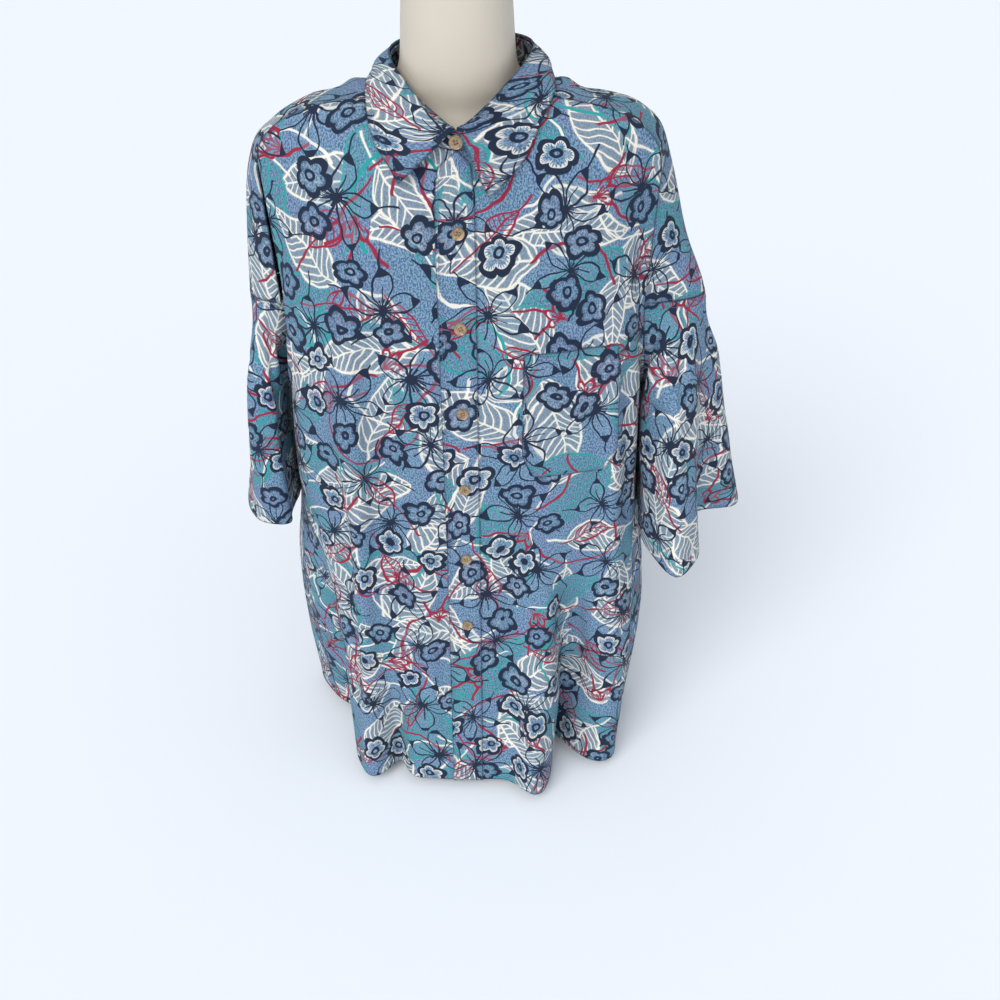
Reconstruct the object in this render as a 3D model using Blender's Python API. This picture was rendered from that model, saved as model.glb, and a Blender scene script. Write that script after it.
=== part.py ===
"""Short-sleeved shirt with a stand collar, hanging on a limbless dress form.

Metres, +Z up. The shirt faces -Y, its centre plane is X = 0, the wearer's left is +X, and the form's
flat base stands on Z = 0. Each cut piece is a sheet of points (rows from the hem up, columns across)
that gets a wall and becomes one closed solid.
"""

import math
from collections import namedtuple

import bmesh
import bpy
import numpy as np
from mathutils import Vector
from mathutils.bvhtree import BVHTree
from mathutils.kdtree import KDTree

# Density of the sheets: 1 gives about 18 mm between points.
DETAIL = 1

# Cloth
WALL = 0.0014
SEAM_GAP = 0.0004
SAME_POINT = 0.00001

# Heights above the surface that the form stands on
HEM_HEIGHT = 0.015
CUFF_HEIGHT = 0.330
POCKET_BOTTOM = 0.421
UNDERARM_HEIGHT = 0.475
POCKET_TOP = 0.550
SLEEVE_SEAM_HEIGHT = 0.575
NECK_FRONT_HEIGHT = 0.732
UNDERARM_TURN = 0.006

# Front edge, pocket and buttons
PLACKET_OUTER = 0.0195
PLACKET_INNER = 0.0145
BUTTON_SPACING = 0.0858
TOP_PLACKET_BUTTON = 0.665
COLLAR_BUTTON_RISE = 0.40
BUTTON_RADIUS = 0.0055
BUTTON_THICKNESS = 0.0026
BUTTON_SIDES = 14
PLACKET_BUTTONS = 6

# Columns of a front panel, eight even ones out to the pocket's far side, then the rest; and rows below it
FRONT_PITCH = 0.0185
PITCHED_COLUMNS = 8
PLAIN_COLUMNS = 5
TURN_COLUMNS = 3
HEM_ROWS = 12
POCKET_FIRST_COLUMN = 3
POCKET_LAST_COLUMN = 8
POCKET_CLIP = 0.60
BACK_PLAIN_COLUMNS = 11

# Columns and rows of the yoke, for one shoulder
DROP_COLUMNS = 4
SLOPE_COLUMNS = 8
NECK_COLUMNS = 6
YOKE_ROWS = 12

# Armhole: how far in front of and behind the side it lies, and the radius of the fold beside it
ARMHOLE_FRONT = 0.041
ARMHOLE_BACK = 0.050
ARMHOLE_ARCH = 0.075
ARMHOLE_LEAST = 0.0012
FOLD_RADIUS = 0.004
TURN_STEPS = 6

# Horizontal sections of the body, seen from above
BODY_SQUARENESS = 3.0
BodySection = namedtuple("BodySection", "height half_width front back")
BODY = (
    BodySection(0.015, 0.188, 0.132, 0.105),
    BodySection(0.120, 0.197, 0.118, 0.105),
    BodySection(0.230, 0.197, 0.106, 0.103),
    BodySection(0.330, 0.186, 0.100, 0.101),
    BodySection(0.475, 0.173, 0.100, 0.100),
    BodySection(0.600, 0.168, 0.100, 0.098),
    BodySection(0.700, 0.166, 0.098, 0.096),
)

# Folds: side (+1 is the wearer's left), distance round from the centre front where the fold starts and at
# the hem, half width, depth (+ is outward), the height where it starts and the height where it is full
Fold = namedtuple("Fold", "side upper lower half_width depth start full")
FOLDS = (
    Fold(+1, 0.135, 0.170, 0.022, +0.008, 0.66, 0.48),
    Fold(+1, 0.070, 0.075, 0.022, +0.026, 0.34, 0.02),
    Fold(+1, 0.105, 0.120, 0.021, -0.060, 0.34, 0.02),
    Fold(+1, 0.215, 0.225, 0.028, -0.020, 0.46, 0.10),
    Fold(+1, 0.275, 0.285, 0.026, +0.006, 0.44, 0.12),
    Fold(+1, 0.350, 0.360, 0.024, -0.022, 0.44, 0.04),
    Fold(+1, 0.410, 0.425, 0.026, +0.016, 0.42, 0.03),
    Fold(+1, 0.465, 0.485, 0.022, -0.014, 0.40, 0.03),
    Fold(-1, 0.105, 0.116, 0.018, +0.010, 0.70, 0.45),
    Fold(-1, 0.088, 0.088, 0.014, -0.024, 0.24, 0.02),
    Fold(-1, 0.180, 0.210, 0.050, -0.072, 0.46, 0.02),
    Fold(-1, 0.285, 0.325, 0.030, +0.020, 0.45, 0.10),
    Fold(-1, 0.365, 0.385, 0.024, -0.018, 0.44, 0.04),
    Fold(-1, 0.415, 0.435, 0.024, +0.016, 0.42, 0.03),
    Fold(-1, 0.465, 0.480, 0.022, -0.014, 0.40, 0.03),
)
FOLD_FADE = 0.030

# Horizontal sections of a sleeve: the inner side's distance from the centre plane, then where the front,
# the front crest, the trough behind it, the outer side and the back lie
SleeveSection = namedtuple(
    "SleeveSection", "height inner front_x front_y crest_x crest_y trough_x trough_y outer_x outer_y back_x back_y"
)
SLEEVES = {
    +1: (
        SleeveSection(0.330, 0.196, 0.210, -0.116, 0.238, -0.090, 0.248, -0.020, 0.292, -0.008, 0.240, 0.095),
        SleeveSection(0.400, 0.189, 0.205, -0.100, 0.228, -0.080, 0.240, -0.030, 0.273, -0.010, 0.228, 0.094),
        SleeveSection(0.475, 0.181, 0.200, -0.082, 0.220, -0.068, 0.234, -0.035, 0.256, -0.010, 0.215, 0.088),
        SleeveSection(0.530, 0.177, 0.190, -0.066, 0.212, -0.055, 0.228, -0.032, 0.244, -0.008, 0.205, 0.078),
        SleeveSection(0.575, 0.175, 0.186, -0.055, 0.208, -0.048, 0.224, -0.032, 0.233, -0.008, 0.202, 0.070),
    ),
    -1: (
        SleeveSection(0.330, 0.192, 0.198, -0.052, 0.215, -0.050, 0.232, -0.030, 0.243, 0.010, 0.218, 0.098),
        SleeveSection(0.400, 0.186, 0.194, -0.055, 0.210, -0.053, 0.222, -0.030, 0.229, 0.008, 0.209, 0.096),
        SleeveSection(0.475, 0.181, 0.190, -0.058, 0.203, -0.054, 0.212, -0.030, 0.219, 0.005, 0.203, 0.086),
        SleeveSection(0.530, 0.177, 0.184, -0.056, 0.196, -0.050, 0.206, -0.028, 0.212, 0.000, 0.197, 0.074),
        SleeveSection(0.575, 0.175, 0.182, -0.052, 0.192, -0.045, 0.200, -0.028, 0.206, -0.004, 0.192, 0.062),
    ),
}
# Columns of a sleeve: beside the armhole, on to the crest, round to the back, inward, beside the armhole
SLEEVE_COLUMNS = (2, 4, 12, 4, 2)
KNOT_STEPS = 10
CREST_KNOT = 3
BACK_KNOT = 7

# The rest of a sleeve's section: how far along its inner side turns, and where the outside goes to the back
INNER_SHARE = 0.65
INNER_FRONT_STEP = 0.003
INNER_BACK_STEP = 0.006
OUTER_BACK_SHARE = 0.60
OUTER_BACK_DEPTH = 0.75

# The cuff hangs lower towards the front: its slope from back to front, and its drop at the middle
CuffHang = namedtuple("CuffHang", "slope drop")
CUFF_HANGS = {+1: CuffHang(0.130, 0.0065), -1: CuffHang(0.010, 0.0)}
SLEEVE_BLEND_HEIGHT = 0.500
CUFF_ROWS = 6

# Shoulders: the ridge of each one, by station from the sleeve seam (0) over the edge (4) to the neck (12)
RIDGE_DEPTH = -0.008
RidgePoint = namedtuple("RidgePoint", "station x height")
RIDGES = {
    +1: (
        RidgePoint(0.0, 0.2315, 0.5750),
        RidgePoint(1.5, 0.2070, 0.6230),
        RidgePoint(2.8, 0.1950, 0.6630),
        RidgePoint(4.0, 0.1825, 0.7050),
        RidgePoint(5.0, 0.1740, 0.7260),
        RidgePoint(6.2, 0.1590, 0.7400),
        RidgePoint(8.6, 0.1280, 0.7530),
        RidgePoint(12.0, 0.0800, 0.7635),
    ),
    -1: (
        RidgePoint(0.0, 0.2035, 0.5750),
        RidgePoint(1.5, 0.1985, 0.6230),
        RidgePoint(2.8, 0.1940, 0.6600),
        RidgePoint(4.0, 0.1880, 0.6900),
        RidgePoint(5.0, 0.1780, 0.7160),
        RidgePoint(6.2, 0.1610, 0.7320),
        RidgePoint(8.6, 0.1280, 0.7510),
        RidgePoint(12.0, 0.0800, 0.7635),
    ),
}

# The yoke's front seam from the shoulder's edge (4) to the neckline (12), and its back seam to the
# centre back (15)
SeamPoint = namedtuple("SeamPoint", "station x y height")
YOKE_FRONT_SEAM = (
    SeamPoint(4.0, 0.1720, -0.043, 0.7000),
    SeamPoint(5.0, 0.1680, -0.044, 0.7180),
    SeamPoint(6.2, 0.1560, -0.046, 0.7330),
    SeamPoint(8.6, 0.1240, -0.049, 0.7500),
)
YOKE_BACK_SEAM = (
    SeamPoint(4.0, 0.1660, 0.058, 0.672),
    SeamPoint(6.0, 0.1500, 0.077, 0.684),
    SeamPoint(9.0, 0.1120, 0.091, 0.690),
    SeamPoint(12.0, 0.0680, 0.097, 0.694),
    SeamPoint(15.0, 0.0000, 0.099, 0.695),
)

# Fullest line of the yoke round the back of the neck, on from the shoulders' ridges
NECK_RIDGE = (
    SeamPoint(13.0, 0.0700, 0.036, 0.7540),
    SeamPoint(14.0, 0.0410, 0.071, 0.7440),
    SeamPoint(15.0, 0.0000, 0.085, 0.7390),
)

# Neckline and collar, by angle from the centre back (0) to the centre front (pi)
NECK_CENTRE = -0.012
NECK_HALF_WIDTH = 0.069
NECK_BACK = 0.072
NECK_FRONT = 0.088
NECK_SEAM_ANGLE = math.radians(112.0)
NECK_SIDE_RISE = 0.033
NECK_BACK_RISE = 0.001
NECK_FALL_POWER = 5
COLLAR_HALF_WIDTH = 0.058
COLLAR_BACK = 0.062
COLLAR_FRONT = 0.0885
COLLAR_BACK_HEIGHT = 0.789
COLLAR_FALL = 0.036
COLLAR_FALL_POWER = 4
COLLAR_POINTEDNESS = 1.4
COLLAR_DRIFT = 0.0025
COLLAR_SWAY = 0.0020
COLLAR_LAP = (math.pi - NECK_SEAM_ANGLE) / DROP_COLUMNS
COLLAR_LAP_DEPTH = 0.0010
COLLAR_CLEARANCE = 0.0035
LIFT_ROUNDS = 4
STAND_ROWS = 2
LEAF_ROWS = 5
LEAF_ROLL = 0.0035
LEAF_BULGE = 0.004
LEAF_END = math.radians(177.0)
LeafPoint = namedtuple("LeafPoint", "station x y height")
LEAF_EDGES = {
    +1: (
        LeafPoint(0.0, 0.0000, 0.0830, 0.7500),
        LeafPoint(3.0, 0.0500, 0.0660, 0.7570),
        LeafPoint(5.0, 0.0730, 0.0300, 0.7670),
        LeafPoint(7.0, 0.0780, -0.0120, 0.7710),
        LeafPoint(8.5, 0.0795, -0.0400, 0.7600),
        LeafPoint(10.0, 0.0640, -0.0730, 0.7370),
        LeafPoint(11.0, 0.0457, -0.0980, 0.7130),
        LeafPoint(12.0, 0.0250, -0.1080, 0.6970),
    ),
    -1: (
        LeafPoint(0.0, 0.0000, 0.0830, 0.7500),
        LeafPoint(3.0, 0.0500, 0.0660, 0.7570),
        LeafPoint(5.0, 0.0690, 0.0300, 0.7670),
        LeafPoint(7.0, 0.0725, -0.0120, 0.7710),
        LeafPoint(8.5, 0.0755, -0.0380, 0.7620),
        LeafPoint(10.0, 0.0665, -0.0780, 0.7340),
        LeafPoint(11.0, 0.0555, -0.0930, 0.7190),
        LeafPoint(12.0, 0.0470, -0.1040, 0.7060),
    ),
}

# Dress form: horizontal sections from the flat base up to the neck's cap. Each one is the shoulders'
# oval and the neck's oval, softly joined.
FORM_SQUARENESS = 2.2
FORM_JOIN = 6.0
FORM_SIDES = 28
FormSection = namedtuple("FormSection", "height half_width half_depth centre neck_width neck_depth")
FORM = (
    FormSection(0.000, 0.110, 0.074, 0.000, 0.000, 0.000),
    FormSection(0.012, 0.116, 0.079, 0.000, 0.000, 0.000),
    FormSection(0.100, 0.120, 0.082, 0.000, 0.000, 0.000),
    FormSection(0.240, 0.118, 0.080, 0.000, 0.000, 0.000),
    FormSection(0.360, 0.110, 0.074, 0.000, 0.000, 0.000),
    FormSection(0.470, 0.118, 0.080, 0.000, 0.000, 0.000),
    FormSection(0.560, 0.134, 0.085, -0.002, 0.050, 0.060),
    FormSection(0.630, 0.148, 0.080, -0.004, 0.060, 0.068),
    FormSection(0.680, 0.157, 0.064, -0.006, 0.062, 0.069),
    FormSection(0.710, 0.160, 0.050, -0.008, 0.062, 0.066),
    FormSection(0.728, 0.154, 0.040, -0.008, 0.061, 0.063),
    FormSection(0.741, 0.1443, 0.031, -0.008, 0.058, 0.060),
    FormSection(0.750, 0.1200, 0.024, -0.010, 0.053, 0.057),
    FormSection(0.756, 0.086, 0.020, -0.013, 0.050, 0.053),
    FormSection(0.768, 0.040, 0.020, -0.014, 0.0485, 0.050),
    FormSection(0.785, 0.030, 0.020, -0.015, 0.0475, 0.0475),
    FormSection(0.805, 0.030, 0.020, -0.016, 0.0460, 0.0460),
    FormSection(0.840, 0.030, 0.020, -0.017, 0.0435, 0.0435),
    FormSection(0.864, 0.030, 0.020, -0.018, 0.0420, 0.0420),
    FormSection(0.870, 0.020, 0.020, -0.018, 0.0380, 0.0380),
)

PRINT_BLUE = (0.158, 0.238, 0.462, 1.0)
BUTTON_BROWN = (0.420, 0.300, 0.180, 1.0)
FORM_CREAM = (0.780, 0.730, 0.640, 1.0)


# ---------------------------------------------------------------- curves and sections

def smooth_step(value):
    value = np.clip(value, 0.0, 1.0)
    return value * value * (3.0 - 2.0 * value)


def hermite(knots, values, at):
    """Smooth curve through values at rising knots, read at each place in at."""
    knots = np.asarray(knots, float)
    values = np.asarray(values, float)
    at = np.atleast_1d(np.asarray(at, float))
    slopes = np.gradient(values, knots, axis=0)
    index = np.clip(np.searchsorted(knots, at, side="right") - 1, 0, len(knots) - 2)
    span = knots[index + 1] - knots[index]
    t = np.clip((at - knots[index]) / span, 0.0, 1.0)
    if values.ndim > 1:
        span = span[:, None]
        t = t[:, None]
    start = (1 + 2 * t) * (1 - t) ** 2 * values[index] + t * (1 - t) ** 2 * span * slopes[index]
    end = t * t * (3 - 2 * t) * values[index + 1] - t * t * (1 - t) * span * slopes[index + 1]
    return start + end


def read_table(table, at):
    """Every column but the first of a table, read smoothly at one value of the first column."""
    rows = np.array(table, float)
    return hermite(rows[:, 0], rows[:, 1:], at)[0]


def distances(points):
    """Distance along a line of points, from its start."""
    steps = np.linalg.norm(np.diff(points, axis=0), axis=1)
    return np.concatenate([[0.0], np.cumsum(steps)])


def along(points, stations):
    """Points of a line at the given distances along it."""
    travelled = distances(points)
    return np.stack([np.interp(stations, travelled, points[:, k]) for k in range(points.shape[1])], axis=1)


def between(points, places):
    """Points on a line's chords, by place counted in points from its start."""
    whole = np.arange(len(points))
    return np.stack([np.interp(places, whole, points[:, k]) for k in range(points.shape[1])], axis=1)


def split_chords(points, pieces):
    """Each chord of a line divided into equal pieces, so that the new line lies on the old one."""
    return between(points, np.linspace(0.0, len(points) - 1, (len(points) - 1) * pieces + 1))


def spline(points, per_span):
    """Smooth line through a few points, by distance between them."""
    points = np.asarray(points, float)
    knots = distances(points)
    return hermite(knots, points, np.linspace(0.0, knots[-1], per_span * (len(points) - 1) + 1))


def with_height(points, height):
    return np.column_stack([points, np.full(len(points), height)])


def mirrored(points, side):
    turned = np.array(points, float)
    turned[..., 0] *= side
    return turned


# ---------------------------------------------------------------- body below the sleeve seams

RING_POINTS = 361
RING_ANGLES = np.linspace(0.0, math.pi, RING_POINTS)
SIDE_INDEX = RING_POINTS // 2


def body_half(side, height):
    """One side of the body's section, from the centre front round to the centre back, as if on +X."""
    half_width, front, back = read_table(BODY, height)
    power = 2.0 / BODY_SQUARENESS
    x = half_width * np.sin(RING_ANGLES).clip(0.0) ** power
    cosine = np.cos(RING_ANGLES)
    y = np.where(cosine > 0.0, -front, back) * np.abs(cosine) ** power
    points = np.column_stack([x, y])
    tangent = np.gradient(points, axis=0)
    tangent /= np.linalg.norm(tangent, axis=1)[:, None]
    outward = np.column_stack([tangent[:, 1], -tangent[:, 0]])
    place = distances(points)
    push = np.zeros(RING_POINTS)
    for fold in FOLDS:
        if fold.side == side:
            grown = smooth_step((fold.start - height) / (fold.start - fold.full))
            centre = fold.upper + (fold.lower - fold.upper) * grown
            push += fold.depth * grown * np.exp(-(((place - centre) / fold.half_width) ** 2))
    push *= smooth_step(place / FOLD_FADE) * smooth_step((place[-1] - place) / FOLD_FADE)
    return points + push[:, None] * outward


def armhole_depth(height, full_depth):
    """How far in front of or behind the side the armhole seam lies, above the underarm."""
    rise = np.clip((height - UNDERARM_HEIGHT) / ARMHOLE_ARCH, 0.0, 1.0)
    return ARMHOLE_LEAST + (full_depth - ARMHOLE_LEAST) * math.sqrt(1.0 - (1.0 - rise) ** 2)


def quarter_turn(centre, start, end):
    angles = np.radians(np.linspace(start, end, TURN_STEPS + 1))
    return centre + FOLD_RADIUS * np.column_stack([np.cos(angles), np.sin(angles)])


def cut_at_depth(path, reach):
    """A path that comes round to the side, cut where it is this far in front of or behind it."""
    beyond = np.nonzero(np.abs(path[:, 1]) <= reach)[0][0]
    before, after = path[beyond - 1], path[beyond]
    t = (abs(before[1]) - reach) / (abs(before[1]) - abs(after[1]))
    return np.vstack([path[:beyond], before + t * (after - before)])


def panel_path(side, height, is_front):
    """Section of a front or of half the back, from the centre out to the side seam or the armhole."""
    ring = body_half(side, height)
    path = ring[: SIDE_INDEX + 1] if is_front else ring[: SIDE_INDEX - 1 : -1]
    if height < UNDERARM_HEIGHT:
        return path
    depth = armhole_depth(height, ARMHOLE_FRONT if is_front else ARMHOLE_BACK)
    path = cut_at_depth(path, depth + FOLD_RADIUS)
    centre = path[-1] + np.array([FOLD_RADIUS, 0.0])
    if is_front:
        turn = quarter_turn(centre, 180.0, 90.0)
    else:
        turn = quarter_turn(centre, 180.0, 270.0)
    return np.vstack([path[:-1], turn])


def armhole_point(side, height, is_front):
    return panel_path(side, height, is_front)[-1]


def panel_row(side, height, is_front):
    """Points of one row, evenly spread on the panel's flat part and closer beside the armhole."""
    if UNDERARM_HEIGHT - UNDERARM_TURN < height < UNDERARM_HEIGHT:
        low = panel_row(side, UNDERARM_HEIGHT - UNDERARM_TURN, is_front)
        high = panel_row(side, UNDERARM_HEIGHT, is_front)
        t = (height - UNDERARM_HEIGHT + UNDERARM_TURN) / UNDERARM_TURN
        return low + t * (high - low)
    path = panel_path(side, height, is_front)
    length = distances(path)[-1]
    turn = FOLD_RADIUS * math.pi / 2.0
    if is_front:
        pitched = PITCHED_COLUMNS * FRONT_PITCH
        stations = np.linspace(0.0, pitched, PITCHED_COLUMNS * DETAIL + 1)
        plain = np.linspace(pitched, length - turn, PLAIN_COLUMNS * DETAIL + 1)[1:]
    else:
        stations = np.array([0.0])
        plain = np.linspace(0.0, length - turn, BACK_PLAIN_COLUMNS * DETAIL + 1)[1:]
    turned = np.linspace(length - turn, length, TURN_COLUMNS * DETAIL + 1)[1:]
    points = along(path, np.concatenate([stations, plain, turned]))
    return mirrored(with_height(points, height), side)


def heights(*stops):
    """Row heights from stops of (height, rows up to it)."""
    levels = [stops[0][0]]
    for (low, _), (high, rows) in zip(stops, stops[1:]):
        levels.extend(np.linspace(low, high, rows * DETAIL + 1)[1:])
    return levels


BODY_LEVELS = heights(
    (HEM_HEIGHT, 0),
    (POCKET_BOTTOM, HEM_ROWS),
    (UNDERARM_HEIGHT - UNDERARM_TURN, 2),
    (UNDERARM_HEIGHT, 1),
    (POCKET_TOP, 4),
    (SLEEVE_SEAM_HEIGHT, 1),
)
ARM_LEVELS = heights((UNDERARM_HEIGHT, 0), (POCKET_TOP, 4), (SLEEVE_SEAM_HEIGHT, 1))


# ---------------------------------------------------------------- neckline and yoke

def neckline(angle):
    """Neck seam, by angle from the centre back."""
    angle = np.atleast_1d(angle)
    reach = np.where(np.cos(angle) > 0.0, NECK_BACK, NECK_FRONT)
    towards_front = (1.0 - np.cos(angle)) / 2.0
    fall = (NECK_SIDE_RISE - NECK_BACK_RISE) * towards_front**NECK_FALL_POWER
    height = NECK_FRONT_HEIGHT + NECK_SIDE_RISE + NECK_BACK_RISE * np.cos(angle) - fall
    return np.column_stack([NECK_HALF_WIDTH * np.sin(angle), NECK_CENTRE + reach * np.cos(angle), height])


def yoke_stations():
    """Stations of the yoke's columns: 0 at the sleeve seam, 4 at the shoulder's edge, 15 at the back."""
    spans = ((0.0, 4.0, DROP_COLUMNS), (4.0, 12.0, SLOPE_COLUMNS), (12.0, 15.0, NECK_COLUMNS))
    places = [0.0]
    for low, high, columns in spans:
        places.extend(np.linspace(low, high, columns * DETAIL + 1)[1:])
    return np.array(places)


def drop_line(side, top, is_front):
    """Edge of the yoke from the sleeve seam up to the shoulder's edge, beside the armhole's fold."""
    point = armhole_point(side, SLEEVE_SEAM_HEIGHT, is_front)
    bottom = np.array([point[0], point[1], SLEEVE_SEAM_HEIGHT])
    t = np.linspace(0.0, 1.0, DROP_COLUMNS * DETAIL + 1)[:, None]
    return bottom + t * (top - bottom)


def yoke_rails(side):
    """The yoke's front edge, ridge and back edge, from the sleeve seam to the centre back."""
    stations = yoke_stations()
    drop = DROP_COLUMNS * DETAIL
    slope = drop + SLOPE_COLUMNS * DETAIL
    neck_point = neckline(NECK_SEAM_ANGLE)[0]
    seam = np.vstack([np.array(YOKE_FRONT_SEAM), np.concatenate([[12.0], neck_point])])
    front = hermite(seam[:, 0], seam[:, 1:], stations)
    front[: drop + 1] = drop_line(side, front[drop], True)
    angles = np.linspace(NECK_SEAM_ANGLE, 0.0, NECK_COLUMNS * DETAIL + 1)
    front[slope:] = neckline(angles)

    back_seam = np.array(YOKE_BACK_SEAM)
    back = hermite(back_seam[:, 0], back_seam[:, 1:], stations)
    back[: drop + 1] = drop_line(side, back[drop], False)

    ridge_seam = [SeamPoint(point.station, point.x, RIDGE_DEPTH, point.height) for point in RIDGES[side]]
    ridge_table = np.array(ridge_seam + list(NECK_RIDGE))
    ridge = hermite(ridge_table[:, 0], ridge_table[:, 1:], stations)
    return front, ridge, back


def yoke_half(side):
    """Rows from the front edge over the ridge to the back edge, columns from the sleeve seam inward."""
    front, ridge, back = yoke_rails(side)
    ahead = np.linalg.norm(ridge - front, axis=1)
    behind = np.linalg.norm(back - ridge, axis=1)
    middle = (ahead / (ahead + behind))[:, None]
    rows = []
    for t in np.linspace(0.0, 1.0, YOKE_ROWS * DETAIL + 1):
        from_front = (t - middle) * (t - 1.0) / middle
        from_ridge = t * (t - 1.0) / (middle * (middle - 1.0))
        from_back = t * (t - middle) / (1.0 - middle)
        rows.append(from_front * front + from_ridge * ridge + from_back * back)
    return mirrored(np.array(rows), side)


def yoke_sheet():
    left = yoke_half(+1)
    right = yoke_half(-1)
    return np.concatenate([right, left[:, -2::-1]], axis=1)


# ---------------------------------------------------------------- fronts and back

def filled(bottom, top, start, end):
    """Sheet between four edges that share their corners."""
    rows, columns = len(start), len(bottom)
    v = np.linspace(0.0, 1.0, rows)[:, None, None]
    u = np.linspace(0.0, 1.0, columns)[None, :, None]
    ruled_up = (1 - v) * bottom[None] + v * top[None]
    ruled_across = (1 - u) * start[:, None] + u * end[:, None]
    corners = (1 - v) * ((1 - u) * bottom[0] + u * bottom[-1]) + v * ((1 - u) * top[0] + u * top[-1])
    return ruled_up + ruled_across - corners


def relaxed(sheet, first_row, rounds):
    """Even out a sheet's inner points above a row, and leave its edges."""
    sheet = sheet.copy()
    for _ in range(rounds):
        inner = sheet[first_row - 1 : -2, 1:-1] + sheet[first_row + 1 :, 1:-1]
        inner = inner + sheet[first_row:-1, :-2] + sheet[first_row:-1, 2:]
        sheet[first_row:-1, 1:-1] += 0.5 * (0.25 * inner - sheet[first_row:-1, 1:-1])
    return sheet


def front_sheet(side):
    """Front panel: rows from the hem to the yoke seam, columns from the centre front outward."""
    lower = np.array([panel_row(side, level, True) for level in BODY_LEVELS])
    yoke = yoke_half(side)
    drop = DROP_COLUMNS * DETAIL
    slope = drop + SLOPE_COLUMNS * DETAIL
    armhole = split_chords(yoke[0, : drop + 1], 2)
    top = split_chords(yoke[0, drop : slope + 1], 2)[::-1]
    centre_rows = DROP_COLUMNS * DETAIL
    rise = np.linspace(0.0, 1.0, centre_rows + 1)[:, None]
    collar_front = mirrored(neckline(math.pi)[0], side)
    centre = lower[-1, 0] + rise * (collar_front - lower[-1, 0])
    neck = mirrored(neckline(np.linspace(math.pi, NECK_SEAM_ANGLE, centre_rows + 1)), side)
    inner = np.concatenate([centre, neck[1:]])
    upper = filled(lower[-1], top, inner, armhole)
    sheet = np.concatenate([lower, upper[1:]])
    return relaxed(sheet, len(lower) - 2 * DETAIL, 4 * DETAIL * DETAIL)


def back_sheet():
    """Back panel: rows from the hem to the yoke seam, columns from the wearer's right to the left."""
    lower = []
    for level in BODY_LEVELS:
        right = panel_row(-1, level, False)
        left = panel_row(+1, level, False)
        lower.append(np.concatenate([right[::-1], left[1:]]))
    lower = np.array(lower)
    yoke = yoke_sheet()
    drop = DROP_COLUMNS * DETAIL
    top = yoke[-1, drop:-drop]
    start = yoke[-1, : drop + 1]
    end = yoke[-1, : -drop - 2 : -1]
    upper = filled(lower[-1], top, start, end)
    sheet = np.concatenate([lower, upper[1:]])
    return relaxed(sheet, len(lower) - 2 * DETAIL, 3 * DETAIL * DETAIL)


# ---------------------------------------------------------------- sleeves

def sleeve_outline(side, height):
    """Section of a sleeve as if on +X, from its inner side round the front, the outside and the back.

    With it come the distances along it of its front crest and of its back.
    """
    row = SleeveSection(height, *read_table(SLEEVES[side], height))
    if height < UNDERARM_HEIGHT:
        start = [np.array([row.inner, 0.0])]
        end = start
        turn_in = turn_out = np.empty((0, 2))
    else:
        front = armhole_point(side, height, True)
        back = armhole_point(side, height, False)
        front_centre = front - np.array([0.0, FOLD_RADIUS])
        back_centre = back + np.array([0.0, FOLD_RADIUS])
        turn_in = quarter_turn(front_centre, 90.0, 0.0)
        turn_out = quarter_turn(back_centre, 0.0, -90.0)
        start = [turn_in[-1]]
        end = [turn_out[0]]
    front_reach = INNER_SHARE * row.front_y + (1.0 - INNER_SHARE) * start[0][1]
    back_reach = INNER_SHARE * row.back_y + (1.0 - INNER_SHARE) * end[0][1]
    behind_x = OUTER_BACK_SHARE * row.outer_x + (1.0 - OUTER_BACK_SHARE) * row.back_x
    knots = start + [
        np.array([start[0][0] + INNER_FRONT_STEP, front_reach]),
        np.array([row.front_x, row.front_y]),
        np.array([row.crest_x, row.crest_y]),
        np.array([row.trough_x, row.trough_y]),
        np.array([row.outer_x, row.outer_y]),
        np.array([behind_x, OUTER_BACK_DEPTH * row.back_y]),
        np.array([row.back_x, row.back_y]),
        np.array([end[0][0] + INNER_BACK_STEP, back_reach]),
    ] + end
    outline = spline(knots, KNOT_STEPS)
    first = max(len(turn_in) - 1, 0)
    whole = np.vstack([turn_in[:-1], outline, turn_out[1:]])
    reached = distances(np.array(knots))
    crest, back = np.round(reached[[CREST_KNOT, BACK_KNOT]] / reached[-1] * (len(outline) - 1)).astype(int)
    places = distances(whole)
    return whole, places[first + crest], places[first + back]


def sleeve_row(side, height, top_edge):
    if UNDERARM_HEIGHT - UNDERARM_TURN < height < UNDERARM_HEIGHT:
        low = sleeve_row(side, UNDERARM_HEIGHT - UNDERARM_TURN, top_edge)
        high = sleeve_row(side, UNDERARM_HEIGHT, top_edge)
        t = (height - UNDERARM_HEIGHT + UNDERARM_TURN) / UNDERARM_TURN
        return low + t * (high - low)
    outline, crest, back = sleeve_outline(side, height)
    length = distances(outline)[-1]
    turn = FOLD_RADIUS * math.pi / 2.0
    stations = np.array([0.0])
    for stop, columns in zip((turn, crest, back, length - turn, length), SLEEVE_COLUMNS):
        span = np.linspace(stations[-1], stop, columns * DETAIL + 1)
        stations = np.concatenate([stations, span[1:]])
    points = along(outline, stations)
    if height > SLEEVE_BLEND_HEIGHT:
        blend = smooth_step((height - SLEEVE_BLEND_HEIGHT) / (SLEEVE_SEAM_HEIGHT - SLEEVE_BLEND_HEIGHT))
        across = np.linspace(0.0, 1.0, len(points))[:, None]
        mixed = (1.0 - blend) * points + blend * top_edge[:, :2]
        near_front = (1.0 - across) ** 6 * (points[0] - mixed[0])
        near_back = across**6 * (points[-1] - mixed[-1])
        points = mixed + near_front + near_back
    return mirrored(with_height(points, height), side)


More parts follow.
